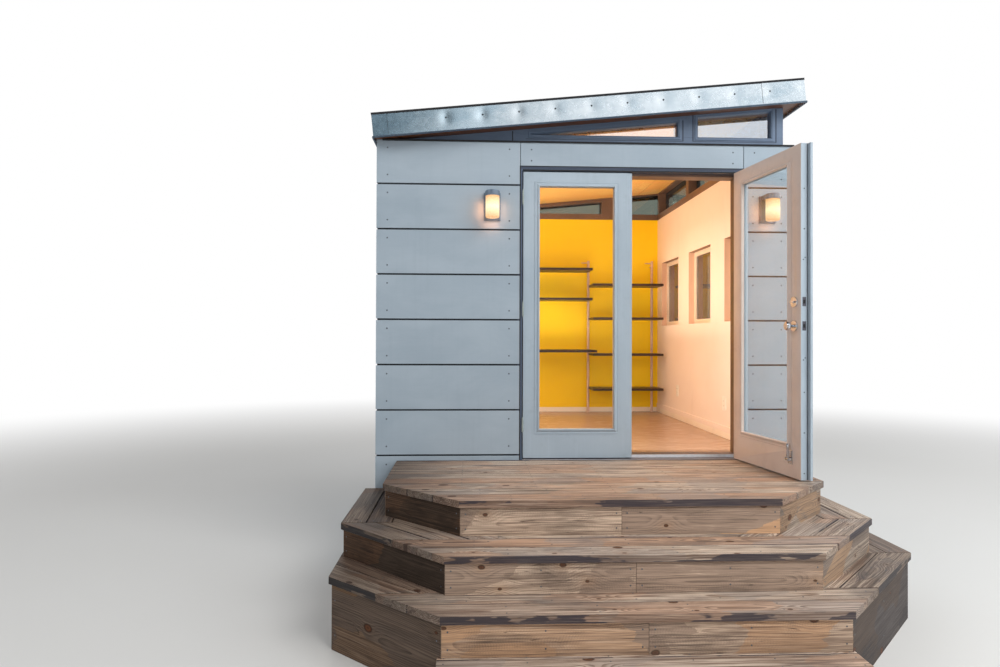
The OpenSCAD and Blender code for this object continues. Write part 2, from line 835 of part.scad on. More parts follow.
// Kick-down holder near the free edge of the right leaf, on its room face
module holder_bracket() {
  x = right_leaf_x + holder_in;
  y = leaf_y + leaf_t;
  color("goldenrod") swung() difference() {
    union() {
      span([x - 22, y, leaf_z + holder_z - 30], [x + 22, y + 4, leaf_z + holder_z + 55]);
      for (s = [-1, 1])
        translate([x + s * 14 - 3, y, leaf_z + holder_z - 10]) cube([6, holder_pin_out + 8, 20]);
    }
    translate([x - 30, y + holder_pin_out, leaf_z + holder_z]) rotate([0, 90, 0])
      cylinder(r = holder_pin_r + pin_fit, h = 60, $fn = 32);
  }
}

module holder_arm() {
  x = right_leaf_x + holder_in;
  y = leaf_y + leaf_t + holder_pin_out;
  z = leaf_z + holder_z;
  arm_len = 86;
  color("goldenrod") swung() {
    translate([x - 17, y, z]) rotate([0, 90, 0]) cylinder(r = holder_pin_r, h = 34, $fn = 32);
    translate([x - 8, y, z]) rotate([0, 90, 0]) cylinder(r = 8, h = 16, $fn = 32);
    translate([x - 6, y - 6, z]) cube([12, 12, arm_len - 12]);
    translate([x, y, z + arm_len - 14]) cylinder(r = 10, h = 24, $fn = 32);
  }
}

// Wall lamps: a plate with a sloped cap, and a half-round shade
module lamp_place(x) {
  translate([x, -face_y, landing_z + lamp_z]) children();
}
lamp_left_x = -676;
lamp_right_x = (door_x1 + casing_w + face_x) / 2;
lamp_cap = 38;
lamp_plate = 14;

shade_r = lamp_w / 2 - 11;
shade_y = -lamp_reach + shade_r + 3;
lamp_foot = 12;

// Outline of the cap from above: narrow at the wall and round over the shade
module cap_outline(grow) {
  union() {
    translate([0, shade_y]) circle(r = shade_r + grow, $fn = 64);
    polygon([[-shade_r - grow, shade_y], [shade_r + grow, shade_y], [lamp_w / 2 - 12, -lamp_plate],
      [-lamp_w / 2 + 12, -lamp_plate]]);
  }
}

module lamp_body() {
  translate([-lamp_w / 2, -lamp_plate, 0]) cube([lamp_w, lamp_plate, lamp_h]);
  translate([0, 0, lamp_h - lamp_cap]) linear_extrude(lamp_cap - 6) cap_outline(3);
  translate([0, 0, lamp_h - 8]) linear_extrude(8) cap_outline(-4);
  for (s = [-1, 1]) {
    translate([s * (lamp_w / 2 - 9), -lamp_plate + 1, lamp_foot]) rotate([90, 0, 0])
      cylinder(r = 7, h = 9, $fn = 32);
    translate([s * (lamp_w / 2 - 9), -lamp_plate - 4, lamp_foot])
      cylinder(r = 4, h = lamp_h - lamp_cap - 4, $fn = 32);
  }
}

module lamp_bodies() {
  color("gray") for (x = [lamp_left_x, lamp_right_x]) lamp_place(x) lamp_body();
}

module lamp_shades() {
  color("wheat") for (x = [lamp_left_x, lamp_right_x])
    lamp_place(x) translate([0, shade_y, 6]) cylinder(r = shade_r, h = lamp_h - lamp_cap - 6, $fn = 64);
}

// Steps. Front boards run through to the cut-off corners.
module clipped(path, z, y0, y1, x0, x1) {
  intersection() {
    translate([0, 0, z - board_t]) linear_extrude(board_t) polygon(path);
    span([x0, y0, z - board_t - 1], [x1, y1, z + 1]);
  }
}

far = 4000;
module front_rows(path, z, front, rows) {
  for (k = [0:rows - 1])
    if (min(step_back, front + k * pitch + board_w) - front - k * pitch > 15)
      clipped(path, z, front + k * pitch, front + k * pitch + board_w, -far, far);
}

// Boards that lie along path edge i, cut between two Y planes, and a little further between x0 and x1
module edge_boards(path, i, z, boards, y0, y1, x0 = 0, x1 = 0) {
  u = (path[i + 1] - path[i]) / norm(path[i + 1] - path[i]);
  n = inward(path[i], path[i + 1]);
  for (k = [0:boards - 1]) {
    a = path[i] + n * k * pitch;
    b = a + n * board_w;
    intersection() {
      translate([0, 0, z - board_t]) linear_extrude(board_t)
        polygon([a - u * far, a + u * far, b + u * far, b - u * far]);
      union() {
        clipped(path, z, y0, y1, -far, far);
        if (x1 > x0) clipped(path, z, y1 - 1, y1 + 2 * board_w, x0, x1);
      }
    }
  }
}

// The full depth of the boards along path edge i
module corner_band(path, i, depth) {
  u = (path[i + 1] - path[i]) / norm(path[i + 1] - path[i]);
  n = inward(path[i], path[i + 1]) * depth;
  linear_extrude(landing_z)
    polygon([path[i] - u * far, path[i] + u * far, path[i] + n + u * far, path[i] + n - u * far]);
}

// The space behind a tier's risers, where the boards of the tier below end
module core(path) {
  linear_extrude(landing_z) polygon([for (i = [0:len(path) - 1]) inset_point(path, i, skirt_in)]);
}

// A tier that runs round its corners: left_y and right_y are where corner boards meet side boards
module step_boards(path, z, front, upper, upper_front, left_y, right_y) {
  third_y = front + 2 * pitch;
  corner_boards = 3;
  side_boards = 2;
  front_rows(path, z, front, 2);
  difference() {
    union() {
      if (upper_front + skirt_in - third_y > 20)
        difference() {
          clipped(path, z, third_y, upper_front + skirt_in, -far, far);
          for (i = [1, 3]) corner_band(path, i, corner_boards * pitch);
        }
      edge_boards(path, 1, z, corner_boards, third_y, left_y, path[0][0] + side_boards * pitch, steps_x);
      edge_boards(path, 3, z, corner_boards, third_y, right_y, steps_x, path[5][0] - side_boards * pitch);
      edge_boards(path, 0, z, side_boards, left_y + board_gap, step_back);
      edge_boards(path, 4, z, side_boards, right_y + board_gap, step_back);
    }
    core(upper);
    translate([0, 1, 0]) core(upper);
  }
}

module landing_boards() {
  color("peru") front_rows(landing_path, landing_z, landing_front, ceil(landing_d / pitch));
}

module second_step_boards() {
  color("peru") step_boards(second_path, 3 * riser, second_front, landing_path, landing_front,
    second_path[1][1], second_path[4][1]);
}

module third_step_boards() {
  color("peru") step_boards(third_path, 2 * riser, third_front, second_path, second_front,
    second_path[1][1], third_path[4][1]);
}

module fourth_step_boards() {
  x0 = steps_x - fourth_half;
  x1 = steps_x + fourth_half;
  path = [[x0, fourth_front], [x1, fourth_front], [x1, third_front + skirt_in], [x0, third_front + skirt_in]];
  color("peru") {
    clipped(path, riser, fourth_front, fourth_front + board_w, x0, x1);
    clipped(path, riser, fourth_front + pitch, third_front - board_gap, x0, x1);
    difference() {
      clipped(path, riser, third_front, third_front + skirt_in, x0, x1);
      for (i = [1, 3]) linear_extrude(far) polygon(mitred(third_path, i, nosing, skirt_in));
    }
  }
}

module skirt(path, i, z0, z1) {
  translate([0, 0, z0]) linear_extrude(z1 - z0) polygon(band(path, i, nosing, skirt_in));
}

// A front riser is two boards that meet on the middle carriage
module split_skirt(path, i, z0, z1) {
  difference() {
    skirt(path, i, z0, z1);
    span([steps_x - 0.5, path[2][1] - skirt_in, z0 - 1], [steps_x + 0.5, path[2][1] + 2 * skirt_in, z1 + 1]);
  }
}

module step_skirts() {
  color("sienna") {
    for (i = [0, 1, 3, 4]) {
      skirt(landing_path, i, 3 * riser, 4 * riser - board_t);
      skirt(second_path, i, 2 * riser, 3 * riser - board_t);
      skirt(third_path, i, 0, 2 * riser - board_t);
    }
    split_skirt(landing_path, 2, 3 * riser, 4 * riser - board_t);
    split_skirt(second_path, 2, 2 * riser, 3 * riser - board_t);
    split_skirt(third_path, 2, riser, 2 * riser - board_t);
    for (i = [0, 2]) skirt(fourth_path, i, 0, riser - board_t);
    split_skirt(fourth_path, 1, 0, riser - board_t);
  }
}

// Carriages under the treads: one upright board for each tier, from the ground up
frame_back = -wall_y - skirt_t;
carriage_y = [frame_back - mitre_gap, landing_front + skirt_in, second_front + skirt_in,
  third_front + skirt_in, fourth_front + skirt_in];
module carriage() {
  for (k = [0:3])
    span([-skirt_t / 2, carriage_y[k + 1] + (k < 3 ? mitre_gap : 0), 0],
      [skirt_t / 2, carriage_y[k], (4 - k) * riser - board_t]);
}

// Carriages, a ledger on the floor deck's edge, and frames that stand under the upper tiers' risers
module step_frame() {
  ledger_h = 140;
  color("sienna") {
    for (x = carriage_x) translate([x, 0, 0]) carriage();
    span([door_x, frame_back, landing_z - board_t - ledger_h], [door_x1, -wall_y, landing_z - board_t]);
    for (i = [0, 1, 3, 4]) skirt(landing_path, i, 0, 3 * riser - board_t);
    difference() {
      for (i = [1, 3, 4]) skirt(second_path, i, 0, 2 * riser - board_t);
      for (dx = [0, 1]) translate([dx, 0, 0]) skirt(third_path, 0, -1, 2 * riser);
    }
  }
}

// Room fittings
base_h = 100;
base_t = 12;
module baseboards() {
  color("white") {
    span([-room_x, room_y - base_t, floor_z], [room_x, room_y, floor_z + base_h]);
    for (s = [-1, 1])
      translate([s * (room_x - base_t / 2), 0, floor_z + base_h / 2])
        cube([base_t, 2 * room_y - 2 * base_t - 2, base_h], center = true);
    span([-room_x + base_t + 1, -room_y, floor_z], [door_x - jamb_t, -room_y + base_t, floor_z + base_h]);
    span([door_x1 + jamb_t, -room_y, floor_z], [room_x - base_t - 1, -room_y + base_t, floor_z + base_h]);
  }
}

bay_right = room_x - 88;
post_back = 60;
function post_x(k) = bay_right - k * bay_w;
right_shelves = [290, 669, 1064, 1432];
left_shelves = [1275, 1600];
desk_z = 711;

post_y = room_y - post_back - post_w / 2;
post_arm = 80;
module shelf_posts() {
  color("burlywood") for (k = [0:2]) translate([post_x(k), post_y, floor_z]) {
    cylinder(r = post_w / 2 + 4, h = 12, $fn = 32);
    cylinder(r = post_w / 2, h = post_h, $fn = 32);
    translate([0, 0, post_h - 24]) rotate([0, -90, 0]) cylinder(r1 = 7, r2 = 5, h = post_arm, $fn = 32);
    translate([0, 0, post_h - 60]) rotate([-90, 0, 0]) cylinder(r = 8, h = room_y - post_y, $fn = 32);
  }
}

// Shelves are notched half round the posts
module shelf(x0, x1, z, depth) {
  difference() {
    span([x0, post_y - post_w / 2 - depth, floor_z + z - shelf_t], [x1, post_y, floor_z + z]);
    for (k = [0:2])
      translate([post_x(k), post_y, floor_z + z - 2 * shelf_t])
        cylinder(r = post_w / 2 + hair, h = 3 * shelf_t, $fn = 32);
  }
}

module shelf_boards() {
  color("saddlebrown") {
    for (z = right_shelves) shelf(post_x(1) + 3, room_x - 40, z, shelf_d);
    for (z = left_shelves) shelf(post_x(2) - 48, post_x(1) - 3, z, shelf_d);
    shelf(post_x(2) - 48, post_x(1) - 3, desk_z, desk_d);
  }
}

foundation();
floor_deck();
floor_boards();
front_wall_left();
front_wall_right();
front_wall_header();
left_wall();
right_wall();
back_wall();
front_cladding();
left_cladding();
right_cladding();
back_cladding();
ledge_flashing();
front_clerestory_frame();
right_clerestory_frame();
back_clerestory_frame();
window_glass();
ceiling_boards();
roof_panel();
roof_membrane();
roof_fascia();
door_frame();
door_sill();
door_hinges();
left_leaf();
left_leaf_glass();
left_leaf_hinges();
right_leaf();
right_leaf_glass();
right_leaf_hinges();
meeting_strip();
lock_plates();
door_knob();
thumb_turn();
holder_bracket();
holder_arm();
side_window_frames();
lamp_bodies();
lamp_shades();
landing_boards();
second_step_boards();
third_step_boards();
fourth_step_boards();
step_skirts();
step_frame();
baseboards();
shelf_posts();
shelf_boards();
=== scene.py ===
# Looks of the garden office pod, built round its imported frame. Metres, Z up.
import json
import math
import random

import bmesh
import bpy
from mathutils import Matrix, Vector
from mathutils.bvhtree import BVHTree

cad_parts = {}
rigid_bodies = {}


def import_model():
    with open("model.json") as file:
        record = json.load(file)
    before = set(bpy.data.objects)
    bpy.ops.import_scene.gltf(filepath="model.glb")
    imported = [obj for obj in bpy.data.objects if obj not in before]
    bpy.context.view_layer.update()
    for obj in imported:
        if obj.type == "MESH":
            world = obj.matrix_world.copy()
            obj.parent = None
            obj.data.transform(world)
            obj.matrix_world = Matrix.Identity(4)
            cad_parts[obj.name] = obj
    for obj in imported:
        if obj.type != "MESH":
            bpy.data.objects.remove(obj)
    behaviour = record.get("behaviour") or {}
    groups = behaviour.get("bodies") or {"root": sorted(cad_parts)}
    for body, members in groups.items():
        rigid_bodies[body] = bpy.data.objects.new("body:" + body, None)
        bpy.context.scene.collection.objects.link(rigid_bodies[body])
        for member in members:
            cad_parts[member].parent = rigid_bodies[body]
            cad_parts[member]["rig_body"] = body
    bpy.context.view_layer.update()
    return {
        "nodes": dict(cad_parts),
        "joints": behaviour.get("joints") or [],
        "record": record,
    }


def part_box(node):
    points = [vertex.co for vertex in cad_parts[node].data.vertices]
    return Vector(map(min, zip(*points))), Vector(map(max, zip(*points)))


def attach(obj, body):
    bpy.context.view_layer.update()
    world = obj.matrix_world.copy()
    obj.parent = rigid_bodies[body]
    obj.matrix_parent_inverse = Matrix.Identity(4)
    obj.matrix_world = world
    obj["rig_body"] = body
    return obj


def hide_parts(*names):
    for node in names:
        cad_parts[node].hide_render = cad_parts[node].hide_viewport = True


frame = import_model()
JOINTS = {j["name"]: j for j in frame["joints"]}


# Shader building


def tint(red, green, blue):
    """A colour written as it shows on a screen, from 0 to 255."""
    parts = [c / 255 for c in (red, green, blue)]
    return tuple(c / 12.92 if c <= 0.04045 else ((c + 0.055) / 1.055) ** 2.4 for c in parts) + (1.0,)


def shaded(shade, times=1.0, plus=0, most=math.inf):
    """A colour made from another one: each part times so much, plus so much, up to a limit."""
    return tint(*[min(most, c * times + plus) for c in shade])


class Wire:
    """A node's output. Sums and products of wires add Math nodes."""

    def __init__(self, finish, socket):
        self.finish, self.socket = finish, socket

    def out(self, name):
        return Wire(self.finish, self.socket.node.outputs[name])

    def maths(self, operation, *values):
        return self.finish.node("Math", {"operation": operation}, dict(enumerate(values)))

    def __add__(self, other):
        return self.maths("ADD", self, other)

    def __sub__(self, other):
        return self.maths("SUBTRACT", self, other)

    def __rsub__(self, other):
        return self.maths("SUBTRACT", other, self)

    def __mul__(self, other):
        return self.maths("MULTIPLY", self, other)

    def __truediv__(self, other):
        return self.maths("DIVIDE", self, other)

    def __pow__(self, other):
        return self.maths("POWER", self, other)

    def __abs__(self):
        return self.maths("ABSOLUTE", self)

    __radd__, __rmul__ = __add__, __mul__

    def root(self):
        return self.maths("SQRT", self)

    def sine(self):
        return self.maths("SINE", self)

    def least(self, other):
        return self.maths("MINIMUM", self, other)

    def most(self, other):
        return self.maths("MAXIMUM", self, other)

    def above(self, limit):
        return self.maths("GREATER_THAN", self, limit)

    def held(self):
        """This value, kept between 0 and 1."""
        return self.least(1.0).most(0.0)

    def past(self, limit):
        """How far this value is above a limit, and 0 below it."""
        return (self - limit).most(0.0)

    def floor(self):
        return self.maths("FLOOR", self)

    def fraction(self):
        return self.maths("FRACT", self)

    def exponent(self):
        return self.maths("EXPONENT", self)

    def step(self, low, high):
        """A soft step from 0 at low to 1 at high, either way round."""
        return self.finish.node(
            "MapRange", {"interpolation_type": "SMOOTHSTEP"},
            {"Value": self, "From Min": low, "From Max": high, "To Min": 0.0, "To Max": 1.0})


class Finish:
    """One material and the nodes behind it."""

    def __init__(self, name, rough=0.5, metal=0.0, **skin):
        self.material = bpy.data.materials.new(name)
        self.material.use_nodes = True
        self.tree = self.material.node_tree
        self.skin = self.tree.nodes["Principled BSDF"]
        self.surface = self.tree.nodes["Material Output"]
        self.colour = None
        self.skin.inputs["Roughness"].default_value = rough
        self.skin.inputs["Metallic"].default_value = metal
        for label, value in skin.items():
            self.skin.inputs[label.replace("_", " ")].default_value = value

    def node(self, kind, settings=(), sockets=()):
        """Adds a node. Its settings are made first, and then its sockets get values or wires."""
        made = self.tree.nodes.new("ShaderNode" + kind)
        for label, value in dict(settings).items():
            setattr(made, label, value)
        for label, value in dict(sockets).items():
            self.feed(made.inputs[label], value)
        return Wire(self, next(s for s in made.outputs if s.enabled))

    def feed(self, socket, value):
        if isinstance(value, Wire):
            self.tree.links.new(value.socket, socket)
        elif value is not None:
            socket.default_value = value

    def place(self):
        return self.node("TexCoord").out("Object")

    def split(self, vector):
        parts = self.node("SeparateXYZ", (), {0: vector})
        return [parts.out(axis) for axis in "XYZ"]

    def join(self, x, y, z=0.0):
        return self.node("CombineXYZ", (), {0: x, 1: y, 2: z})

    def stretch(self, vector, x, y, z):
        return self.node("Mapping", (), {"Vector": vector, "Scale": (x, y, z)})

    def noise(self, vector, scale=1.0, detail=2.0, rough=0.5, warp=0.0):
        return self.node("TexNoise", (), {"Vector": vector, "Scale": scale, "Detail": detail,
                                          "Roughness": rough, "Distortion": warp})

    def cells(self, vector, scale):
        return self.node("TexVoronoi", (), {"Vector": vector, "Scale": scale})

    def mix(self, share, first, second, way="MIX"):
        made = self.tree.nodes.new("ShaderNodeMix")
        made.data_type, made.blend_type = "RGBA", way
        for index, value in ((0, share), (6, first), (7, second)):
            self.feed(made.inputs[index], value)
        return Wire(self, made.outputs[2])

    def coat(self, share, colour, way="MIX"):
        """Lays a colour over the one made so far, by a share from 0 to 1."""
        self.colour = self.mix(share, self.colour, colour, way)

    def blend(self, share, shader):
        """Mixes another shader into the skin, by a share from 0 to 1."""
        both = self.tree.nodes.new("ShaderNodeMixShader")
        self.feed(both.inputs[0], share)
        self.tree.links.new(self.skin.outputs[0], both.inputs[1])
        self.tree.links.new(shader.socket, both.inputs[2])
        self.tree.links.new(both.outputs[0], self.surface.inputs["Surface"])

    def show(self, rough, bump=None, depth=0.001, strength=1.0):
        """Ends the material with its colour, its roughness and the height that its bump follows."""
        self.feed(self.skin.inputs["Base Color"], self.colour)
        self.feed(self.skin.inputs["Roughness"], rough)
        if bump is not None:
            self.feed(self.skin.inputs["Normal"], self.node(
                "Bump", (), {"Height": bump, "Distance": depth, "Strength": strength}))
        return self.material


# Meshes


SLOT_OF = {part["node"]: part["material_slot"] for part in frame["record"]["subparts"]}
CHANCE = random.Random(71)
# Faces that meet at less than FLAT are one face, up to ROUND one curve, and past CORNER an edge to ease
FLAT, ROUND, CORNER = (math.radians(angle) for angle in (0.6, 26, 30))


def body_of(node):
    return frame["nodes"][node]["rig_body"]


def merged(*nodes):
    """A clean copy of CAD nodes' meshes, with doubles merged and flat faces joined."""
    bm = bmesh.new()
    for node in nodes:
        bm.from_mesh(frame["nodes"][node].data)
    bmesh.ops.remove_doubles(bm, verts=bm.verts, dist=1e-5)
    bmesh.ops.dissolve_limit(bm, angle_limit=math.radians(0.4), verts=bm.verts, edges=bm.edges)
    bm.normal_update()
    return bm


def round_shading(bm):
    """Faces that meet at a slight angle belong to a round surface and are shaded smooth."""
    for edge in bm.edges:
        if len(edge.link_faces) == 2 and FLAT < edge.calc_face_angle(0) < ROUND:
            for face in edge.link_faces:
                face.smooth = True


def eased(bm, width, steps=2):
    """Rounds the outer corners."""
    round_shading(bm)
    corners = [e for e in bm.edges if len(e.link_faces) == 2 and e.is_convex
               and e.calc_face_angle(0) > CORNER]
    if corners:
        bmesh.ops.bevel(bm, geom=corners, offset=width, segments=steps, profile=0.5,
                        affect="EDGES", clamp_overlap=True)
    bm.normal_update()
    return bm


def islands(bm):
    """The separate solids in a mesh, as lists of faces, always in the mesh's own order."""
    left, found = set(bm.faces), []
    for first in bm.faces:
        if first not in left:
            continue
        left.remove(first)
        group, queue = [], [first]
        while queue:
            face = queue.pop()
            group.append(face)
            for edge in face.edges:
                for other in edge.link_faces:
                    if other in left:
                        left.remove(other)
                        queue.append(other)
        found.append(group)
    return found


def grained(bm, along=None):
    """Gives each board its own grain: a point in the log it came from, and three chance tones.
    Runs before the corners are eased, so that the longest edge tells where the grain goes."""
    place = bm.verts.layers.float_vector.new("grain")
    tone = bm.loops.layers.float_color.new("tone")
    boards = sorted(islands(bm), key=lambda group: tuple(round(c, 4) for c in
                    sum((f.calc_center_median() for f in group), Vector()) / len(group)))
    for group in boards:
        longest = max((e for f in group for e in f.edges), key=lambda e: e.calc_length())
        run = Vector(along) if along else (longest.verts[1].co - longest.verts[0].co).normalized()
        sides = [f for f in group if abs(f.normal.dot(run)) < 0.5]
        face = max(sides or group, key=lambda f: f.calc_area()).normal
        across = run.cross(face).normalized()
        points = dict.fromkeys(v for f in group for v in f.verts)
        middle = sum((v.co for v in points), Vector()) / len(points)
        shift = Vector((CHANCE.uniform(-40, 40), CHANCE.uniform(-0.03, 0.03), CHANCE.uniform(0.015, 0.06)))
        shade = tuple(CHANCE.random() for _ in range(3))
        for v in points:
            p = v.co - middle
            v[place] = Vector((p.dot(run), p.dot(across), p.dot(face))) + shift
        for f in group:
            kind = 1.0 if abs(f.normal.dot(run)) > 0.6 else 0.5 if abs(f.normal.dot(face)) < 0.5 else 0.0
            for loop in f.loops:
                loop[tone] = (*shade, kind)
    return bm


def placed(name, data):
    """A new object, put into the scene."""
    made = bpy.data.objects.new(name, data)
    bpy.context.scene.collection.objects.link(made)
    return made


def piece(name, bm, *finishes, body="pod", slot=None, instead=()):
    """Ends a mesh as a piece of the object, riding on its body."""
    mesh = bpy.data.meshes.new(name)
    bm.to_mesh(mesh)
    bm.free()
    made = placed(name, mesh)
    for finish in finishes:
        mesh.materials.append(finish)
    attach(made, body)
    for node in instead:
        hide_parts(node)
    return made


def stand_in(node, bm, *finishes, name=None):
    """A piece that takes a CAD node's place, on its body."""
    return piece(name or node + "_finished", bm, *finishes, body=body_of(node), slot=SLOT_OF[node],
                 instead=[node])


def dressed(node, finish, ease=0.0012, steps=2, name=None, along=None, grain=False):
    """A CAD node with its corners eased and its finish on."""
    bm = merged(node)
    if grain:
        grained(bm, along)
    eased(bm, ease, steps)
    return stand_in(node, bm, finish, name=name)


def painted(node, finish):
    """A CAD node that keeps its own shape and takes a finish."""
    slots = frame["nodes"][node].data.materials
    slots.clear()
    slots.append(finish)


def block(bm, low, high, turn=None):
    """Adds a closed box between two corners."""
    size = [h - l for l, h in zip(low, high)]
    centre = [(h + l) / 2 for l, h in zip(low, high)]
    at = Matrix.Translation(centre) @ Matrix.Diagonal((*size, 1))
    made = bmesh.ops.create_cube(bm, size=1.0, matrix=at)["verts"]
    if turn:
        bmesh.ops.transform(bm, matrix=turn, verts=made)


def turned(bm, profile, sides, place, ribs, rib):
    """Adds a round shape: profile is (radius, height) from its foot, and ribs flute it lengthways."""
    rings = []
    for radius, height in profile:
        ring = []
        for k in range(sides):
            a = 2 * math.pi * k / sides
            r = radius - rib * (0.5 - 0.5 * math.cos(a * ribs))
            ring.append(bm.verts.new(place @ Vector((r * math.cos(a), r * math.sin(a), height))))
        rings.append(ring)
    for low, high in zip(rings, rings[1:]):
        for k in range(sides):
            n = (k + 1) % sides
            bm.faces.new((low[k], low[n], high[n], high[k])).smooth = True
    bm.faces.new(rings[0][::-1])
    bm.faces.new(rings[-1])


def swept(bm, corners, profile, inward):
    """Adds a moulding round a closed frame. Profile points are (across, up) from the frame's line, and
    inward is the normal of its plane."""
    count = len(corners)
    loops = []
    for k, corner in enumerate(corners):
        before = (corner - corners[k - 1]).normalized()
        after = (corners[(k + 1) % count] - corner).normalized()
        side_a, side_b = before.cross(inward), after.cross(inward)
        mitre = (side_a + side_b).normalized()
        mitre /= max(0.2, mitre.dot(side_a))
        loops.append([bm.verts.new(corner + mitre * s + inward * d) for s, d in profile])
    for k in range(count):
        this, following = loops[k], loops[(k + 1) % count]
        for j in range(len(profile)):
            n = (j + 1) % len(profile)
            bm.faces.new((this[j], this[n], following[n], following[j]))


# Finishes


def attribute(finish, name):
    return finish.node("Attribute", {"attribute_name": name})


RING = 0.0075  # how far apart a log's growth rings are, at most
KNOT_CELL = 0.42, 0.15  # one knot may stand in each such part of a board's face


def wood(name, pale, brown, grey, orange, rough=0.72, greyed=0.5, patch=0.6, black=0.0, knots=0.5,
         depth=0.0006, cracks=1.0, saw=0.0, figure=0.6, streaks=0.6, low_damp=0.0, bold=1.0,
         painted_shade_ends=0.0):
    """Sawn softwood in its own log: growth rings that bend round knots, fibres, cracks and weathering. It can
    also paint shade over the boards' left and right ends, and darken them towards the bottom.
    """
    f = Finish(name, rough)
    grain = attribute(f, "grain").out("Vector")
    shade = attribute(f, "tone")
    one, two, three = f.split(shade.out("Color"))
    kind = shade.out("Alpha")
    end, nose = kind.step(0.7, 0.9), kind.step(0.3, 0.45) * (1 - kind.step(0.6, 0.8))
    u, v, w = f.split(grain)
    flat = f.join(u / KNOT_CELL[0], v / KNOT_CELL[1] + one * 7.0)
    spots = f.node("TexVoronoi", {"voronoi_dimensions": "2D"},
                   {"Vector": flat, "Scale": 1.0, "Randomness": 0.85})
    px, py, _ = f.split(spots.out("Position"))
    fx, fy, _ = f.split(flat)
    dx, dy = (fx - px) * KNOT_CELL[0], (fy - py) * KNOT_CELL[1]
    luck, size, _ = f.split(spots.out("Color"))
    wobble = f.noise(f.stretch(grain, 30, 60, 60), 1.0, 3.0)
    away = (dx * dx * 0.42 + dy * dy).root() + (wobble - 0.5) * 0.005
    knot_r = size * size * 0.012 + 0.0055
    present = (luck - (1 - knots)).step(0.0, 0.02) * (1 - nose)
    core = (knot_r - away).step(-0.0008, 0.0014) * present
    rim = (1 - (abs(away - knot_r) / (knot_r * 0.34)).least(1.0)) * present
    halo = (away * away * -1500.0).exponent() * present
    wide = (away * away * -420.0).exponent() * present
    # rings round the pith, which lies below the face and wanders along the log
    slow = f.noise(f.stretch(grain, 1.1, 4, 4), 1.0, 2.0, 0.5)
    ripple = f.noise(f.stretch(grain, 4.0, 26, 26), 1.0, 2.0, 0.5)
    radius = (v * v + w * w).root() + u * (one - 0.5) * 0.02 + slow * 0.05 + ripple * 0.0035 + wide * 0.02
    wave = radius / (two * 0.5 * RING + RING * 0.75)
    tooth = wave.fraction()
    late = tooth.step(0.30, 0.93) * (1 - tooth.step(0.955, 1.0))
    year = f.noise(f.join(wave.floor() * 0.37, three * 9.0), 1.0, 0.0)
    late = late * (year * 1.3 + 0.25)
    tight = (away / knot_r).least(6.0)
    knot_rings = (tight * 17.0).sine() * 0.5 + 0.5
    fibres = f.noise(f.stretch(grain, 7, 420, 420), 1.0, 3.0, 0.6)
    fine = f.noise(f.stretch(grain, 40, 1500, 1500), 1.0, 2.0, 0.6)
    lines = f.noise(f.stretch(grain, 2.4, 125, 125), 1.0, 4.0, 0.68)
    streak = f.noise(f.stretch(grain, 0.9, 40, 40), 1.0, 4.0, 0.62)
    blotch = f.noise(f.stretch(grain, 2.2, 7, 7), 1.0, 4.0, 0.6, 0.3)
    # each board has its own colour
    f.colour = f.mix((one - 0.4).step(0.0, 0.7) * 0.75, tint(*pale), tint(*grey))
    f.coat((two - 0.45).step(0.0, 0.5) * 0.75, tint(*orange))
    deep = (late * figure + (lines - 0.5) * 1.5 * bold + (fibres - 0.5) * 0.8 * bold
            + (fine - 0.5) * 0.3 + 0.16).held()
    f.coat(deep, tint(*brown))
    f.coat((streak - 0.50).step(0.0, 0.14) * streaks, shaded(brown, 0.86))
    f.coat((0.47 - lines).step(0.0, 0.14) * 0.5, shaded(pale, 1.13, most=250))
    # weathered patches end in ragged or slanting edges, and the grain shows through
    ragged = (lines - 0.5) * 0.35 + (fibres - 0.5) * 0.25
    slant = f.join((u + v * 0.7 + (streak - 0.5) * 0.10) / 0.40 + three * 9.0,
                   (v + (slow - 0.5) * 0.05) / 0.20 + two * 5.0)
    cell = f.node("TexVoronoi", {"voronoi_dimensions": "2D", "distance": "CHEBYCHEV"},
                  {"Vector": slant, "Scale": 1.0, "Randomness": 1.0}).out("Color")
    first, second, _ = f.split(cell)
    grey_patch = (first + (blotch - 0.5) * 0.6 + ragged * 0.6).step(0.95 - greyed, 1.05 - greyed)
    lit_patch = (second + ragged * 0.4).step(0.62, 0.68) * (1 - grey_patch)
    f.coat(lit_patch * patch * 0.95, f.mix(deep * 0.8, tint(*orange), tint(*brown)))
    greyer = f.mix(deep, shaded(grey, 1.06, most=250), shaded(grey, 0.72))
    f.coat(grey_patch * patch, greyer)
    soil = (blotch + ragged * 0.5 - 0.53).step(0.0, 0.14)
    f.coat(soil * 0.42, shaded(grey, 0.66))
    f.coat(fibres.past(0.52) * 1.5, shaded(brown, 0.5))
    if black:
        spread = f.noise(f.stretch(grain, 1.9, 8, 8), 1.0, 4.0, 0.62)
        dark = (spread + ragged * 0.26).step(0.615 - black * 0.28, 0.635 - black * 0.28)
        thin = (fibres * 0.5 + lines * 0.5 - 0.34).step(0.0, 0.22)
        f.coat(nose * (lines * 0.6 + 0.3), shaded(brown, 0.80))
        f.coat(dark * nose * (thin * 0.25 + 0.68), tint(54, 49, 56))
        smear = (spread + ragged * 0.55).step(0.60, 0.70) * (1 - nose) * thin
        f.coat(smear * 0.50, tint(84, 78, 84))
    f.coat(halo * 0.35, shaded(orange, 0.82))
    f.coat(core * 0.9, tint(84, 50, 32))
    f.coat((1 - away / (knot_r * 0.5)).held() * present, tint(46, 28, 20))
    f.coat(core * knot_rings * 0.45, tint(128, 82, 54))
    f.coat(rim * 0.85, tint(46, 30, 24))
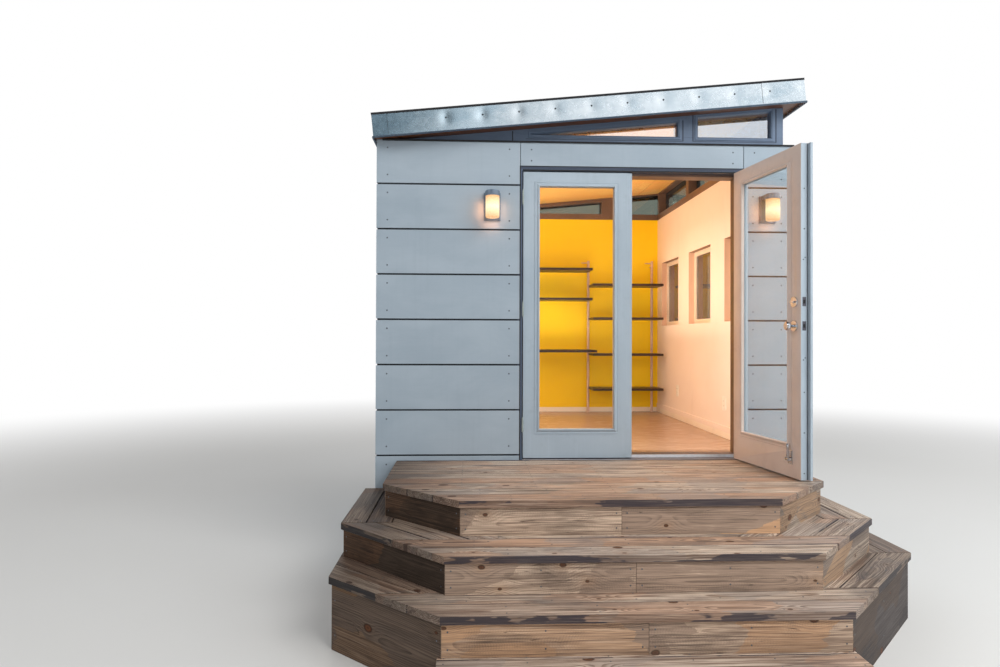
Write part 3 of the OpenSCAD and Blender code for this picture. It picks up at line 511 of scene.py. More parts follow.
    # drying cracks run along the grain
    line = f.noise(f.stretch(grain, 1.6, 80, 80), 1.0, 1.0)
    crack = (1 - (abs(line - 0.5) / 0.009).least(1.0)) * (blotch - 0.47).step(0.0, 0.08) * cracks
    f.coat(crack * 0.75, tint(38, 30, 28))
    side, _, above = f.split(f.place())
    # Painted shade: the boards grow darker towards their left ends, and towards their right ends on the lower
    # treads
    if painted_shade_ends:
        left = side.step(-0.55, -1.45) * 0.9
        right = side.step(0.95, 1.30) * (above.step(0.42, 0.54) * -0.42 + 0.74)
        f.coat(left.most(right) * painted_shade_ends, tint(128, 122, 118), "MULTIPLY")
    # Darker towards the bottom, below about half a metre
    f.coat((1 - (above + slow * 0.3).step(0.22, 0.52)) * low_damp, shaded(grey, 0.62))
    f.coat(end * 0.45, shaded(brown, 0.5))
    height = fibres * 0.5 + fine * 0.3 + lines * 0.6 + late * 0.5 - crack * 2.2 - rim * 0.9 + core * 0.5
    if saw:
        teeth = (u * 500.0 + v * 60.0 + streak * 30.0 + slow * 90.0 + (wobble - 0.5) * 7.0).sine() * 0.5 + 0.5
        teeth = teeth * teeth * (blotch - 0.42).step(0.0, 0.16) * (lines * 1.4 - 0.1)
        height = height + teeth * saw
        f.coat(teeth * 0.5 * saw, shaded(grey, 0.60))
    return f.show((fibres - 0.5) * 0.12 + late * -0.08 + (rough + 0.02), bump=height, depth=depth,
                  strength=0.8)


def fibre_cement(name):
    """Cladding: pale blue-grey boards with faint rolled streaks, pits and rain marks."""
    f = Finish(name, 0.62)
    one, two, _ = f.split(attribute(f, "tone").out("Color"))
    grain = attribute(f, "grain").out("Vector")
    cloud = f.noise(f.stretch(grain, 1.6, 3.2, 3.2), 1.0, 5.0, 0.6, 0.5)
    streak = f.noise(f.stretch(grain, 5, 230, 230), 1.0, 3.0, 0.6)
    fine = f.noise(f.stretch(grain, 900, 900, 900), 1.0, 2.0)
    pits = f.cells(grain, 210.0).out("Distance")
    drip = f.noise(f.stretch(f.place(), 30, 30, 1.4), 1.0, 3.0)
    f.colour = f.mix(cloud.step(0.25, 0.75), tint(150, 164, 176), tint(163, 176, 187))
    f.coat(streak.past(0.45) * 0.22, tint(124, 138, 150))
    f.coat(drip.past(0.55) * 0.5, tint(130, 144, 156))
    f.coat(one * 0.10, tint(138, 151, 162))
    f.coat(two * 0.10, tint(178, 188, 196))
    f.coat((1 - pits.step(0.05, 0.16)) * 0.18, tint(120, 132, 142))
    height = streak * 0.3 + fine * 0.3 + cloud * 0.5 + pits.step(0.03, 0.14) * 0.4
    return f.show(cloud * 0.16 + streak * 0.08 + 0.46, bump=height, depth=0.0004, strength=0.5)


def galvanised(name, slope, first, pitch, level):
    """Zinc-coated sheet: crystals of different greys, a painted reflection that turns it bluer and darker to
    the left, and a dimple round each screw with a painted highlight and painted shade beside it.
    The screws stand in a row up the slope: the first one's run, their spacing and their height."""
    f = Finish(name, 0.4, 0.85)
    near = f.place()
    x, _, z = f.split(near)
    run = x * math.cos(slope) + z * math.sin(slope) - first
    rise = z * math.cos(slope) - x * math.sin(slope) - level
    beside = (run + pitch * 40.5) / pitch
    beside = (beside - beside.floor() - 0.5) * pitch
    screwed = run.step(-0.14, -0.11)
    dent = ((beside * beside + rise * rise * 0.6) * -900.0).exponent() * screwed
    # Painted highlight on the left of each screw's dimple and painted shade on its right
    left, right = beside + 0.035, beside - 0.04
    lit = ((left * left + rise * rise * 0.5) * -700.0).exponent()
    dim = ((right * right + rise * rise * 0.4) * -500.0).exponent()
    bent = f.noise(f.stretch(near, 1.4, 2.6, 2.6), 1.0, 2.0)
    chips = f.cells(near, 44.0)
    tone_a, tone_b, _ = f.split(chips.out("Color"))
    fine = f.cells(near, 150.0)
    tone_c, _, _ = f.split(fine.out("Color"))
    cloud = f.noise(f.stretch(near, 2.2, 4.0, 4.0), 1.0, 5.0, 0.6, 0.3)
    streak = f.noise(f.stretch(near, 2.0, 2.0, 30), 1.0, 3.0)
    f.colour = f.mix(tone_a, tint(196, 207, 214), tint(211, 220, 226))
    f.coat(tone_c * 0.25, tint(174, 190, 200))
    f.coat(cloud.step(0.48, 0.70) * 0.45, tint(228, 236, 241))
    f.coat((0.46 - cloud).step(0.0, 0.12) * 0.5, tint(164, 184, 196))
    f.coat(dim * screwed * 0.4, tint(150, 172, 186))
    f.coat(lit * screwed * 0.5, tint(240, 245, 248))
    f.coat(streak.past(0.5) * 0.4, tint(158, 176, 188))
    # Painted reflection of dark trees: bluer towards the left, and much darker at the left end
    f.coat(x.step(-0.45, -0.90), (1.03, 1.13, 1.18, 1.0), "MULTIPLY")
    f.coat(x.step(-0.95, -1.45), (0.56, 0.66, 0.72, 1.0), "MULTIPLY")
    rough = tone_b * 0.05 + cloud * 0.12 + 0.19
    height = tone_a * 0.03 + bent * 4.6 + fine.out("Distance") * 0.01 - dent * 2.0
    return f.show(rough, bump=height, depth=0.002, strength=0.6)


def coated(name, colour_a, colour_b, rough=0.42, brush=0.35, metal=0.0, along=(3, 3, 3)):
    """Brushed or sprayed paint with faint marks."""
    f = Finish(name, rough, metal)
    near = f.place()
    cloud = f.noise(near, 1.6, 5.0, 0.6, 0.4)
    strokes = f.noise(f.stretch(near, *along), 1.0, 3.0, 0.6)
    peel = f.noise(near, 620.0, 2.0, 0.5)
    dirt = f.noise(near, 9.0, 4.0, 0.7, 0.3)
    f.colour = f.mix(cloud.step(0.3, 0.7), tint(*colour_a), tint(*colour_b))
    f.coat(strokes.past(0.5) * brush, shaded(colour_b, 1.18, 6, 255))
    f.coat(dirt.past(0.55) * 0.9, shaded(colour_a, 0.72))
    height = peel * 0.3 + strokes * 0.6
    return f.show(cloud * 0.14 + (strokes - 0.5) * 0.12 + (rough - 0.06), bump=height, depth=0.0003,
                  strength=0.5)


PLY_CORNER, PLY_SHEET = (1.085, -1.9), (2.438, 1.219)
PLANK_WIDE, PLANK_LONG = 0.19, 1.38


def plywood(name):
    """Ceiling sheets: flame-figured veneer down the slope, sheet joints and a few plugs."""
    f = Finish(name, 0.46)
    near = f.place()
    x, y, _ = f.split(near)
    from_x, from_y = x - PLY_CORNER[0], y - PLY_CORNER[1]
    sheet_x, sheet_y = (from_x / PLY_SHEET[0]).floor(), (from_y / PLY_SHEET[1]).floor()
    seed = f.noise(f.join(sheet_x * 7.3, sheet_y * 3.7, 0.5), 1.0, 0.0)
    moved = f.join(x + sheet_y * 3.1, y + sheet_x * 1.7, seed * 4.0)
    warp = f.noise(f.stretch(moved, 0.9, 3.4, 1), 1.0, 3.0, 0.5)
    across = y + (warp - 0.5) * 0.42 + sheet_x * 0.31
    bow = (across * across * 5.0 + across * 3.0 + x * 0.32 + warp * 0.7) * 26.0
    tooth = bow.fraction()
    figure = tooth.step(0.35, 0.9) * (1 - tooth.step(0.93, 1.0))
    fibres = f.noise(f.stretch(moved, 3, 330, 1), 1.0, 3.0, 0.65)
    cloud = f.noise(f.stretch(moved, 1.4, 3.6, 1), 1.0, 4.0, 0.6)
    f.colour = f.mix((figure + (fibres - 0.5) * 0.8).held(), tint(255, 224, 144), tint(218, 136, 62))
    f.coat(cloud.step(0.35, 0.7) * 0.5, tint(248, 174, 84))
    f.coat((seed - 0.35) * 0.5, tint(240, 176, 100))
    spots = f.node("TexVoronoi", {"voronoi_dimensions": "2D"}, {"Vector": f.stretch(near, 2.2, 6.5, 1)})
    knot = 1 - spots.out("Distance").step(0.02, 0.07)
    luck, _, _ = f.split(spots.out("Color"))
    f.coat(knot * luck.step(0.55, 0.6) * 0.8, tint(120, 58, 22))
    joints = []
    for way, sheet, size in zip((from_x, from_y), (sheet_x, sheet_y), PLY_SHEET):
        beside = abs(way - sheet * size).least(abs(way - (sheet + 1) * size))
        joints.append(1 - beside.step(0.0007, 0.002))
    joint = joints[0].most(joints[1])
    f.coat(joint * 0.85, tint(70, 34, 14))
    # outside the room the sheets are the soffit, painted darker brown as painted shade
    beyond = abs(y).above(1.40).most(abs(x).above(1.35))
    f.coat(beyond, f.mix(figure * 0.6, tint(112, 68, 42), tint(80, 46, 28)))
    return f.show((fibres - 0.5) * 0.16 + 0.45, bump=fibres * 0.3 - joint * 3.0, depth=0.0006, strength=0.6)


def plaster(name, base, deep):
    """Rolled wall paint over a smooth wall."""
    f = Finish(name, 0.68)
    near = f.place()
    roller = f.noise(near, 260.0, 3.0, 0.55)
    cloud = f.noise(near, 0.8, 4.0, 0.55, 0.4)
    scuff = f.noise(f.stretch(near, 4, 4, 1.2), 1.0, 4.0, 0.65)
    f.colour = f.mix(cloud.step(0.35, 0.7), tint(*base), tint(*deep))
    f.coat(scuff.past(0.58) * 0.8, shaded(deep, 0.82))
    return f.show(roller * 0.1 + cloud * 0.1 + 0.58, bump=roller + cloud * 4, depth=0.0004,
                  strength=0.35)


def metal(name, light, dark, rough=0.3, brush=(300, 300, 6), metallic=1.0, blotch=0.3):
    """Plated or satin metal with fine brushing and handled patches."""
    f = Finish(name, rough, metallic)
    near = f.place()
    lines = f.noise(f.stretch(near, *brush), 1.0, 3.0, 0.6)
    marks = f.noise(near, 34.0, 4.0, 0.65, 0.4)
    f.colour = f.mix(marks.step(0.42, 0.68) * blotch, tint(*light), tint(*dark))
    f.coat(lines.past(0.5) * 0.5, tint(*dark))
    return f.show(marks * 0.22 + lines * 0.14 + (rough - 0.16), bump=lines, depth=0.0001, strength=0.4)


def rubbery(name, shade, rough=0.72):
    f = Finish(name, rough)
    near = f.place()
    speck = f.noise(near, 380.0, 3.0, 0.6)
    dust = f.noise(near, 5.0, 5.0, 0.65, 0.5)
    f.colour = f.mix(dust.step(0.42, 0.7) * 0.5, tint(*shade), shaded(shade, plus=26))
    return f.show(dust * 0.2 + (rough - 0.1), bump=speck + dust * 3, depth=0.0005, strength=0.5)


def roof_sheet(name, first, width, black):
    """Black roofing laid in rolls that run down the slope: lapped seams, dust and water marks."""
    f = Finish(name, 0.8)
    near = f.place()
    _, y, _ = f.split(near)
    roll = (y - first) / width
    across = (roll - roll.floor()) * width
    lap = across.step(0.0, 0.0015) * (1 - across.step(0.088, 0.0895))
    weld = (1 - (abs(across - 0.089) / 0.007).least(1.0)).most(0.0)
    dust = f.noise(f.stretch(near, 1.1, 1.8, 1), 1.0, 5.0, 0.62, 0.5)
    runs = f.noise(f.stretch(near, 0.8, 14, 1), 1.0, 4.0, 0.6)
    grit = f.noise(near, 900.0, 2.0, 0.6)
    f.colour = f.mix(dust.step(0.38, 0.70) * 0.55, tint(*black), shaded(black, plus=26))
    f.coat(runs.past(0.52) * 1.6, shaded(black, plus=44))
    f.coat(grit.past(0.5) * 0.8, shaded(black, plus=34))
    own = f.noise(f.join(roll.floor() * 4.3, 0.5, 0.5), 1.0, 0.0)
    f.coat(own.past(0.3) * 0.7, shaded(black, plus=30))
    # Painted sheen: the lapped band is painted lighter than the rest of the sheet
    f.coat(lap * 0.35, shaded(black, plus=40))
    f.coat(weld * 0.85, shaded(black, 0.35))
    height = lap * 2.0 + grit * 0.35 + dust * 0.8 - weld * 0.9
    return f.show(dust * 0.18 - lap * 0.08 + 0.68, bump=height, depth=0.0012, strength=0.8)


def cast_concrete(name):
    f = Finish(name, 0.86)
    near = f.place()
    cloud = f.noise(near, 2.4, 6.0, 0.62, 0.5)
    holes = f.cells(f.stretch(near, 1, 1, 1.2), 62.0).out("Distance")
    sand = f.noise(near, 500.0, 3.0, 0.6)
    damp = f.noise(f.stretch(near, 1.5, 1.5, 5), 1.0, 4.0)
    f.colour = f.mix(cloud, tint(150, 147, 141), tint(112, 109, 103))
    f.coat((1 - holes.step(0.06, 0.14)) * 0.7, tint(70, 68, 64))
    f.coat(damp.past(0.5), tint(84, 84, 80))
    return f.show(sand * 0.12 + 0.78, bump=holes.step(0.04, 0.12) * 2 + sand * 0.5 + cloud, depth=0.0012,
                  strength=0.7)


def floorboards(name):
    """Laminate planks, laid along the door wall."""
    f = Finish(name, 0.34)
    x, y, _ = f.split(f.place())
    rows = (y + 3.0) / PLANK_WIDE
    row = rows.floor()
    run = (x + row * 0.417 + 9.0) / PLANK_LONG
    board = run.floor()
    seed = f.noise(f.join(board * 5.1, row * 9.7, 0.3), 1.0, 0.0)
    moved = f.join(x + seed * 31.0, y + row * 0.7, seed * 9.0)
    warp = f.noise(f.stretch(moved, 1.6, 7, 1), 1.0, 3.0)
    rings = y * 30.0 + warp * 9.0
    tooth = rings.fraction()
    fibres = f.noise(f.stretch(moved, 5, 300, 1), 1.0, 3.0, 0.65)
    f.colour = f.mix(tooth.step(0.3, 1.0) * 0.4 + (fibres - 0.5) * 0.7,
                     tint(184, 152, 130), tint(142, 112, 92))
    f.coat((seed - 0.4) * 0.9, tint(196, 164, 142))
    gap_x, gap_y = run - board, rows - row
    joint = (1 - gap_y.step(0.0, 0.008)).most(1 - (1 - gap_y).step(0.0, 0.008))
    joint = joint.most(1 - gap_x.step(0.0, 0.0012))
    f.coat(joint * 0.6, tint(70, 52, 42))
    return f.show((fibres - 0.5) * 0.16 + 0.26, bump=fibres * 0.25 - joint * 2, depth=0.0005, strength=0.4)


def window_pane(name, shade, bend=1.45):
    """Clear glass that lets lamp light through. A higher bend mirrors more of the sky."""
    f = Finish(name, 0.0, Transmission_Weight=1.0, IOR=bend)
    f.skin.inputs["Base Color"].default_value = tint(*shade)
    clear = f.node("BsdfTransparent", (), {"Color": tint(*shade)})
    f.blend(f.node("LightPath").out("Is Shadow Ray"), clear)
    return f.material


def lit_shade(name):
    """Ribbed opal glass with a lamp behind it, brightest at its middle."""
    f = Finish(name, 0.28, Emission_Strength=1.0)
    _, _, z = f.split(f.place())
    low, high = (c.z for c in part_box("lamp_shades"))
    level = (z - low) / (high - low)
    middle = 1 - abs(level - 0.5) * 1.25
    speckle = f.noise(f.place(), 90.0, 2.0)
    glow = f.mix((middle + speckle * 0.12).held() ** 1.6, tint(214, 138, 70), tint(250, 236, 190))
    f.feed(f.skin.inputs["Emission Color"], glow)
    f.colour = f.mix(middle.most(0.0), tint(150, 112, 76), tint(178, 162, 134))
    return f.show(speckle * 0.1 + 0.22, bump=speckle, depth=0.0004, strength=0.4)


# Repeated heads and lugs, set on points


HEAD_VALUES = ("Size", "Float", 1.0), ("Most Turn", "Float", 6.283), ("Seed", "Int", 4)


def head_tree():
    """Puts a small part on each point, turned to face the point's own way and spun by chance."""
    tree = bpy.data.node_groups.new("small_parts_on_points", "GeometryNodeTree")
    sides = {}
    for label, kind, value in (("Points", "Geometry", None), ("Part", "Object", None),
                               ("Finish", "Material", None), *HEAD_VALUES):
        socket = tree.interface.new_socket(label, in_out="INPUT", socket_type="NodeSocket" + kind)
        if value is not None:
            socket.default_value = value
        sides[label] = socket.identifier
    tree.interface.new_socket("Mesh", in_out="OUTPUT", socket_type="NodeSocketGeometry")
    add, link = tree.nodes.new, tree.links.new
    start, end = add("NodeGroupInput"), add("NodeGroupOutput")
    facing = add("GeometryNodeInputNamedAttribute")
    facing.data_type = "FLOAT_VECTOR"
    facing.inputs["Name"].default_value = "facing"
    aim = add("FunctionNodeAlignRotationToVector")
    aim.axis = "Z"
    chance = add("FunctionNodeRandomValue")
    spin = add("FunctionNodeAxisAngleToRotation")
    both = add("FunctionNodeRotateRotation")
    both.rotation_space = "LOCAL"
    part = add("GeometryNodeObjectInfo")
    spread = add("GeometryNodeInstanceOnPoints")
    real, coat = add("GeometryNodeRealizeInstances"), add("GeometryNodeSetMaterial")
    link(next(s for s in facing.outputs if s.enabled), aim.inputs["Vector"])
    link(start.outputs["Most Turn"], next(s for s in chance.inputs if s.enabled and s.name == "Max"))
    link(start.outputs["Seed"], chance.inputs["Seed"])
    spin.inputs["Axis"].default_value = (0, 0, 1)
    link(next(s for s in chance.outputs if s.enabled), spin.inputs["Angle"])
    link(aim.outputs[0], both.inputs[0])
    link(spin.outputs[0], both.inputs[1])
    link(start.outputs["Part"], part.inputs["Object"])
    link(start.outputs["Points"], spread.inputs["Points"])
    link(part.outputs["Geometry"], spread.inputs["Instance"])
    link(both.outputs[0], spread.inputs["Rotation"])
    link(start.outputs["Size"], spread.inputs["Scale"])
    link(spread.outputs[0], real.inputs[0])
    link(real.outputs[0], coat.inputs["Geometry"])
    link(start.outputs["Finish"], coat.inputs["Material"])
    link(coat.outputs[0], end.inputs[0])
    return tree, sides


HEADS = head_tree()


def screw_head(radius, rise):
    """A low domed head with a cross socket, standing on the plane z = 0."""
    bm = bmesh.new()
    sides, socket = 12, radius * 0.5
    turns = [2 * math.pi * k / sides for k in range(sides)]
    profile = (radius, -0.0006), (radius, rise * 0.35), (radius * 0.8, rise * 0.9), (socket, rise)
    rings = [[bm.verts.new((r * math.cos(a), r * math.sin(a), z)) for a in turns] for r, z in profile]
    reach = [socket * (0.82 if k % 3 else 0.35) for k in range(sides)]
    slot = [bm.verts.new((r * math.cos(a), r * math.sin(a), rise * 0.25)) for r, a in zip(reach, turns)]
    rings.append(slot)
    for low, high in zip(rings, rings[1:]):
        for k in range(sides):
            n = (k + 1) % sides
            bm.faces.new((low[k], low[n], high[n], high[k]))
    bm.faces.new(slot)
    bm.faces.new(rings[0][::-1])
    mesh = bpy.data.meshes.new("head")
    bm.to_mesh(mesh)
    bm.free()
    return bpy.data.objects.new("head", mesh)


def set_heads(name, spots, part, finish, body="pod"):
    """Makes one piece of many small parts. Each spot is a place and the way it faces."""
    mesh = bpy.data.meshes.new(name)
    mesh.from_pydata([tuple(at) for at, _ in spots], [], [])
    ways = mesh.attributes.new("facing", "FLOAT_VECTOR", "POINT")
    ways.data.foreach_set("vector", [c for _, way in spots for c in way])
    carrier = placed(name, mesh)
    modifier = carrier.modifiers.new("heads", "NODES")
    tree, sides = HEADS
    modifier.node_group = tree
    for label, value in (("Part", part), ("Finish", finish), *((row[0], row[2]) for row in HEAD_VALUES)):
        modifier[sides[label]] = value
    bpy.context.view_layer.update()
    shape = bpy.data.meshes.new_from_object(carrier.evaluated_get(bpy.context.evaluated_depsgraph_get()))
    carrier.modifiers.clear()
    carrier.data = shape
    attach(carrier, body)
    return carrier


# Finishes of this pod

TREAD_WOOD = wood("weathered_and_shaded_tread_wood", (224, 204, 184), (128, 102, 86), (170, 157, 149), (208, 164, 134),
                  greyed=0.24, patch=0.5, black=0.50, rough=0.68, figure=0.90, streaks=0.90, bold=1.8,
                  painted_shade_ends=1.0)
RISER_SHADES = (228, 202, 178), (122, 96, 80), (170, 146, 128), (226, 178, 136)


def riser_wood(name, strength, cool=(1.0, 1.0, 1.0), **more):
    """The risers' wood at some strength: the front ones are paler, and the ones at the sides take weaker
    strengths as painted shade.
    """
    shades = [[c * strength * k for c, k in zip(shade, cool)] for shade in RISER_SHADES]
    return wood(name, *shades, greyed=0.36, patch=0.9, saw=0.8, knots=0.7, figure=0.48, streaks=0.55,
                bold=1.6, **more)


RISER_WOOD = riser_wood("weathered_riser_wood", 0.96, rough=0.74, low_damp=0.55)
# Painted shade: weaker, cooler copies for the risers that face right, the weakest on the lowest tier
SHADED_RIGHT_WOOD = riser_wood("right_riser_painted_shade_wood", 0.76, (0.97, 1.0, 1.03), rough=0.76)
LOW_SHADED_RIGHT_WOOD = riser_wood("low_right_riser_painted_shade_wood", 0.37, (0.95, 1.0, 1.12), rough=0.80)
# Painted shade: darker copies for the risers that face left, a less dark one on the lowest tier
SHADED = {"greyed": 0.4, "patch": 0.7, "rough": 0.82, "saw": 0.5, "knots": 0.5}
SHADED_WOOD = wood("shaded_riser_wood", (99, 81, 69), (54, 42, 36), (68, 58, 50), (104, 76, 56), **SHADED)
LOW_SHADED_WOOD = wood("low_shaded_riser_wood", (124, 106, 92), (74, 60, 50), (96, 84, 76), (132, 104, 80),
                       **SHADED)
for finish in (SHADED_WOOD, LOW_SHADED_WOOD):
    finish.node_tree.nodes["Principled BSDF"].inputs["Specular IOR Level"].default_value = 0.15
FRAME_WOOD = wood("rough_frame_wood", (166, 128, 94), (112, 80, 56), (104, 90, 78), (170, 122, 80),
                  greyed=0.4, rough=0.85, saw=0.8)
SHELF_WOOD = wood("dark_shelf_wood", (58, 42, 44), (28, 19, 22), (44, 34, 38), (70, 46, 40), rough=0.38,
                  greyed=0.1, patch=0.2, knots=0.1, cracks=0.0, depth=0.0002)
CLADDING = fibre_cement("cladding_board")
SLOPE = math.radians(5.625)
UP, RUN = Vector((-math.sin(SLOPE), 0, math.cos(SLOPE))), Vector((math.cos(SLOPE), 0, math.sin(SLOPE)))
EDGE = Vector((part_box("front_cladding")[0].x, 0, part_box("back_wall")[1].z))
SCREW_RUN, SCREW_PITCH, SCREW_RISE = 0.4958, 0.2538, 0.081
ZINC = galvanised("zinc_sheet", SLOPE, SCREW_RUN + EDGE.dot(RUN), SCREW_PITCH, SCREW_RISE + EDGE.dot(UP))
HEM = coated("weathered_zinc_hem", (74, 88, 104), (90, 105, 120), 0.42, metal=0.5, along=(3, 3, 60))
SLATE = coated("slate_frame_paint", (92, 107, 128), (104, 120, 142), 0.4, along=(4, 4, 60))
SLATE_DARK = coated("dark_slate_paint", (52, 60, 76), (62, 71, 88), 0.42, along=(4, 4, 60))
SLATE_ROOM = coated("frame_paint_in_the_room", (122, 96, 82), (98, 80, 72), 0.42, along=(4, 4, 60))
DOOR_OUT = coated("door_paint", (158, 172, 184), (168, 181, 192), 0.4, along=(120, 120, 2.5))
DOOR_ROOM = coated("door_paint_in_the_room", (218, 200, 190), (206, 186, 176), 0.42, along=(120, 120, 2.5))
CREAM = coated("cream_gloss_paint", (250, 232, 212), (240, 218, 194), 0.34, along=(3, 3, 90))
BASE_PAINT = coated("skirting_paint", (250, 234, 216), (242, 222, 202), 0.36, along=(3, 90, 90))
LAMP_METAL = coated("lamp_metal_paint", (132, 148, 164), (108, 122, 138), 0.34, metal=0.3,
                    along=(200, 200, 8))
WALL_WARM = plaster("warm_white_wall", (247, 229, 217), (243, 221, 207))
WALL_YELLOW = plaster("yellow_wall", (255, 217, 0), (252, 205, 0))
# Painted shade: the side windows' reveals are browner than the wall, and their heads darker still
SHADED_REVEAL = plaster("shaded_window_reveal", (234, 194, 166), (222, 180, 152))
REVEAL_HEAD = plaster("shaded_window_head", (158, 122, 98), (140, 106, 84))
CEILING = plywood("ceiling_plywood")
FLOOR = floorboards("plank_floor")
CONCRETE = cast_concrete("cast_concrete")
MEMBRANE = rubbery("black_membrane", (24, 25, 28))
ROOF_SHEET = roof_sheet("black_roof_sheet", -1.62, 0.98, (30, 31, 34))
RUBBER = rubbery("black_gasket", (24, 24, 26), 0.6)
CORE = rubbery("building_paper", (40, 43, 46), 0.86)
NICKEL = metal("bright_nickel", (210, 214, 220), (120, 122, 128), 0.20, blotch=0.2)
EDGE_PLATE = metal("dark_edge_plate", (104, 102, 110), (60, 58, 64), 0.36, (200, 200, 20))
HINGE = metal("hinge_plating", (160, 170, 166), (120, 128, 124), 0.36, metallic=0.3)
SILL = metal("sill_aluminium", (112, 106, 110), (84, 80, 84), 0.42, (8, 300, 300), 0.4)
SILL_EDGE = metal("sill_front_edge", (232, 230, 234), (196, 194, 198), 0.4, (8, 300, 300), 0.2)
POST = metal("satin_post_tube", (216, 188, 172), (176, 146, 130), 0.4, (300, 300, 5), 0.25)
DARK_SCREW = metal("roof_screw_steel", (50, 54, 58), (26, 28, 32), 0.5, (200, 200, 200), 0.4)
SCREW = metal("screw_steel", (104, 108, 114), (54, 58, 64), 0.42, (200, 200, 200), 0.7)
PLASTIC = coated("outlet_plastic", (246, 238, 228), (236, 226, 214), 0.3, brush=0.1)
PANE = window_pane("clear_pane", (246, 249, 248))
SKY_PANE = window_pane("high_window_pane", (250, 242, 232), 4.4)
# Painted reflection: the front corner high pane is tinted sky blue
BLUE_PANE = window_pane("high_corner_pane_painted_sky", (158, 190, 226), 4.8)
# Painted shade: the back and right high panes and the side panes are tinted dark, standing in for the dark
# outside seen through them
TREE_PANE = window_pane("high_pane_painted_dark", (104, 110, 100), 1.6)
DARK_PANE = window_pane("side_pane_painted_dark", (138, 122, 110))
PANE_LOW = window_pane("closed_leaf_pane", (246, 249, 248), 1.1)
SHADE = lit_shade("lit_lamp_shade")

LEDGE_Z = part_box("ledge_flashing")[0].z
FACE_X, FACE_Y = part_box("front_cladding")[1].x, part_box("front_cladding")[0].y


# Timber and cladding

for node in ("landing_boards", "second_step_boards", "third_step_boards", "fourth_step_boards"):
    dressed(node, TREAD_WOOD, 0.004, 3, node + "_weathered", grain=True)
bm = grained(merged("step_skirts"))
low_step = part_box("fourth_step_boards")[1].z * 2
# Risers that face left or right take the painted-shade copies of the wood, with copies of their own on the
# lowest tier
for group in islands(bm):
    front = max(f.calc_area() * -f.normal.y for f in group)
    low = max(v.co.z for f in group for v in f.verts) < low_step + 0.01
    kind = 0
    if max(f.calc_area() * -f.normal.x for f in group) > front * 0.6:
        middle = sum(f.calc_center_median().x for f in group)
        kind = (2 if low else 1) if middle < 0 else (4 if low else 3)
    for face in group:
        face.material_index = kind
eased(bm, 0.0015, 2)
piece("step_risers_weathered", bm, RISER_WOOD, SHADED_WOOD, LOW_SHADED_WOOD, SHADED_RIGHT_WOOD, LOW_SHADED_RIGHT_WOOD,
      slot="deck_timber", instead=["step_skirts"])
dressed("step_frame", FRAME_WOOD, 0.002, 2, "step_frame_sawn", grain=True)
for node in ("front_cladding", "left_cladding", "right_cladding", "back_cladding"):
    dressed(node, CLADDING, 0.0012, 2, node + "_boards", grain=True)
dressed("shelf_boards", SHELF_WOOD, 0.0012, 2, "shelf_boards_dark", along=(1, 0, 0), grain=True)


def two_sided(node, outer, inner, is_inner, ease=0.0):
    """A node with one finish outside and another on the room's side."""
    bm = merged(node)
    if ease:
        eased(bm, ease, 2)
    else:
        round_shading(bm)
    for face in bm.faces:
        face.material_index = 1 if is_inner(face) else 0
    return stand_in(node, bm, outer, inner)


def inside_room(face):
    """True where a face looks into the room."""
    at = face.calc_center_median()
    low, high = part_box("floor_boards")
    return low.x - 1e-3 < at.x < high.x + 1e-3 and low.y - 1e-3 < at.y < high.y + 1e-3


def reveal(face):
    """True for a wall's faces in the room and in its window reveals."""
    at = face.calc_center_median()
    return (at.x < FACE_X - 0.012 and abs(at.y) < -FACE_Y - 0.1
            and (inside_room(face) or abs(face.normal.x) < 0.5))


for node in ("front_wall_left", "front_wall_right", "front_wall_header", "left_wall"):
    two_sided(node, CORE, WALL_WARM, inside_room)
bm = merged("right_wall")
round_shading(bm)
room_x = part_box("floor_boards")[1].x
# In the side windows the reveals take the painted-shade finishes, the darkest on the heads
for face in bm.faces:
    in_window = reveal(face) and abs(face.normal.x) < 0.5 and face.calc_center_median().x > room_x
    face.material_index = 0 if not reveal(face) else 1 if not in_window else 3 if face.normal.z < -0.5 else 2
stand_in("right_wall", bm, CORE, WALL_WARM, SHADED_REVEAL, REVEAL_HEAD)
two_sided("back_wall", CORE, WALL_YELLOW, inside_room)

# Roof, ledge and ground works

for node, finish in (("foundation", CONCRETE), ("floor_deck", MEMBRANE), ("floor_boards", FLOOR),
                     ("ceiling_boards", CEILING), ("roof_panel", FRAME_WOOD)):
    painted(node, finish)
dressed("roof_membrane", ROOF_SHEET, 0.001, 2)
dressed("ledge_flashing", MEMBRANE, 0.0008, 2)
bm = merged("roof_fascia")
eased(bm, 0.0006, 2)
(edge_low, edge_high), (fascia_low, fascia_top), (_, fascia_y) = (
    [f(v.co.dot(way) for v in bm.verts) for f in (min, max)] for way in (RUN, UP, Vector((0, 1, 0))))
for face in bm.faces:
    face.material_index = 1 if max(v.co.dot(UP) for v in face.verts) < fascia_low + 0.024 else 0
sheet_y = fascia_y - 0.008
slanted = Matrix(((RUN.x, 0, UP.x, 0), (0, 1, 0, 0), (RUN.z, 0, UP.z, 0), (0, 0, 0, 1)))
START = EDGE.dot(RUN)
LEFT_LAP, RIGHT_LAP = START + 0.092, START + 2.725


def on_both_sheets(bm, low, high, proud):
    """Lays a strip on the fascia's front and back sheets, from one run to another."""
    for side in (-1, 1):
        near, far = sorted((side * (sheet_y - 0.0004), side * (sheet_y + proud)))
        block(bm, (low, near, fascia_low + 0.020), (high, far, fascia_top - 0.004), slanted)


def round_the_edge(bm, low, high, outer_y, inner_y, width, foot, top):
    """Lays four strips round the roof's edge."""
    for near, far in (((low, -outer_y), (high, -inner_y)), ((low, inner_y), (high, outer_y)),
                      ((low, -sheet_y), (low + width, sheet_y)),
                      ((high - width, -sheet_y), (high, sheet_y))):
        block(bm, (*near, foot), (*far, top), slanted)


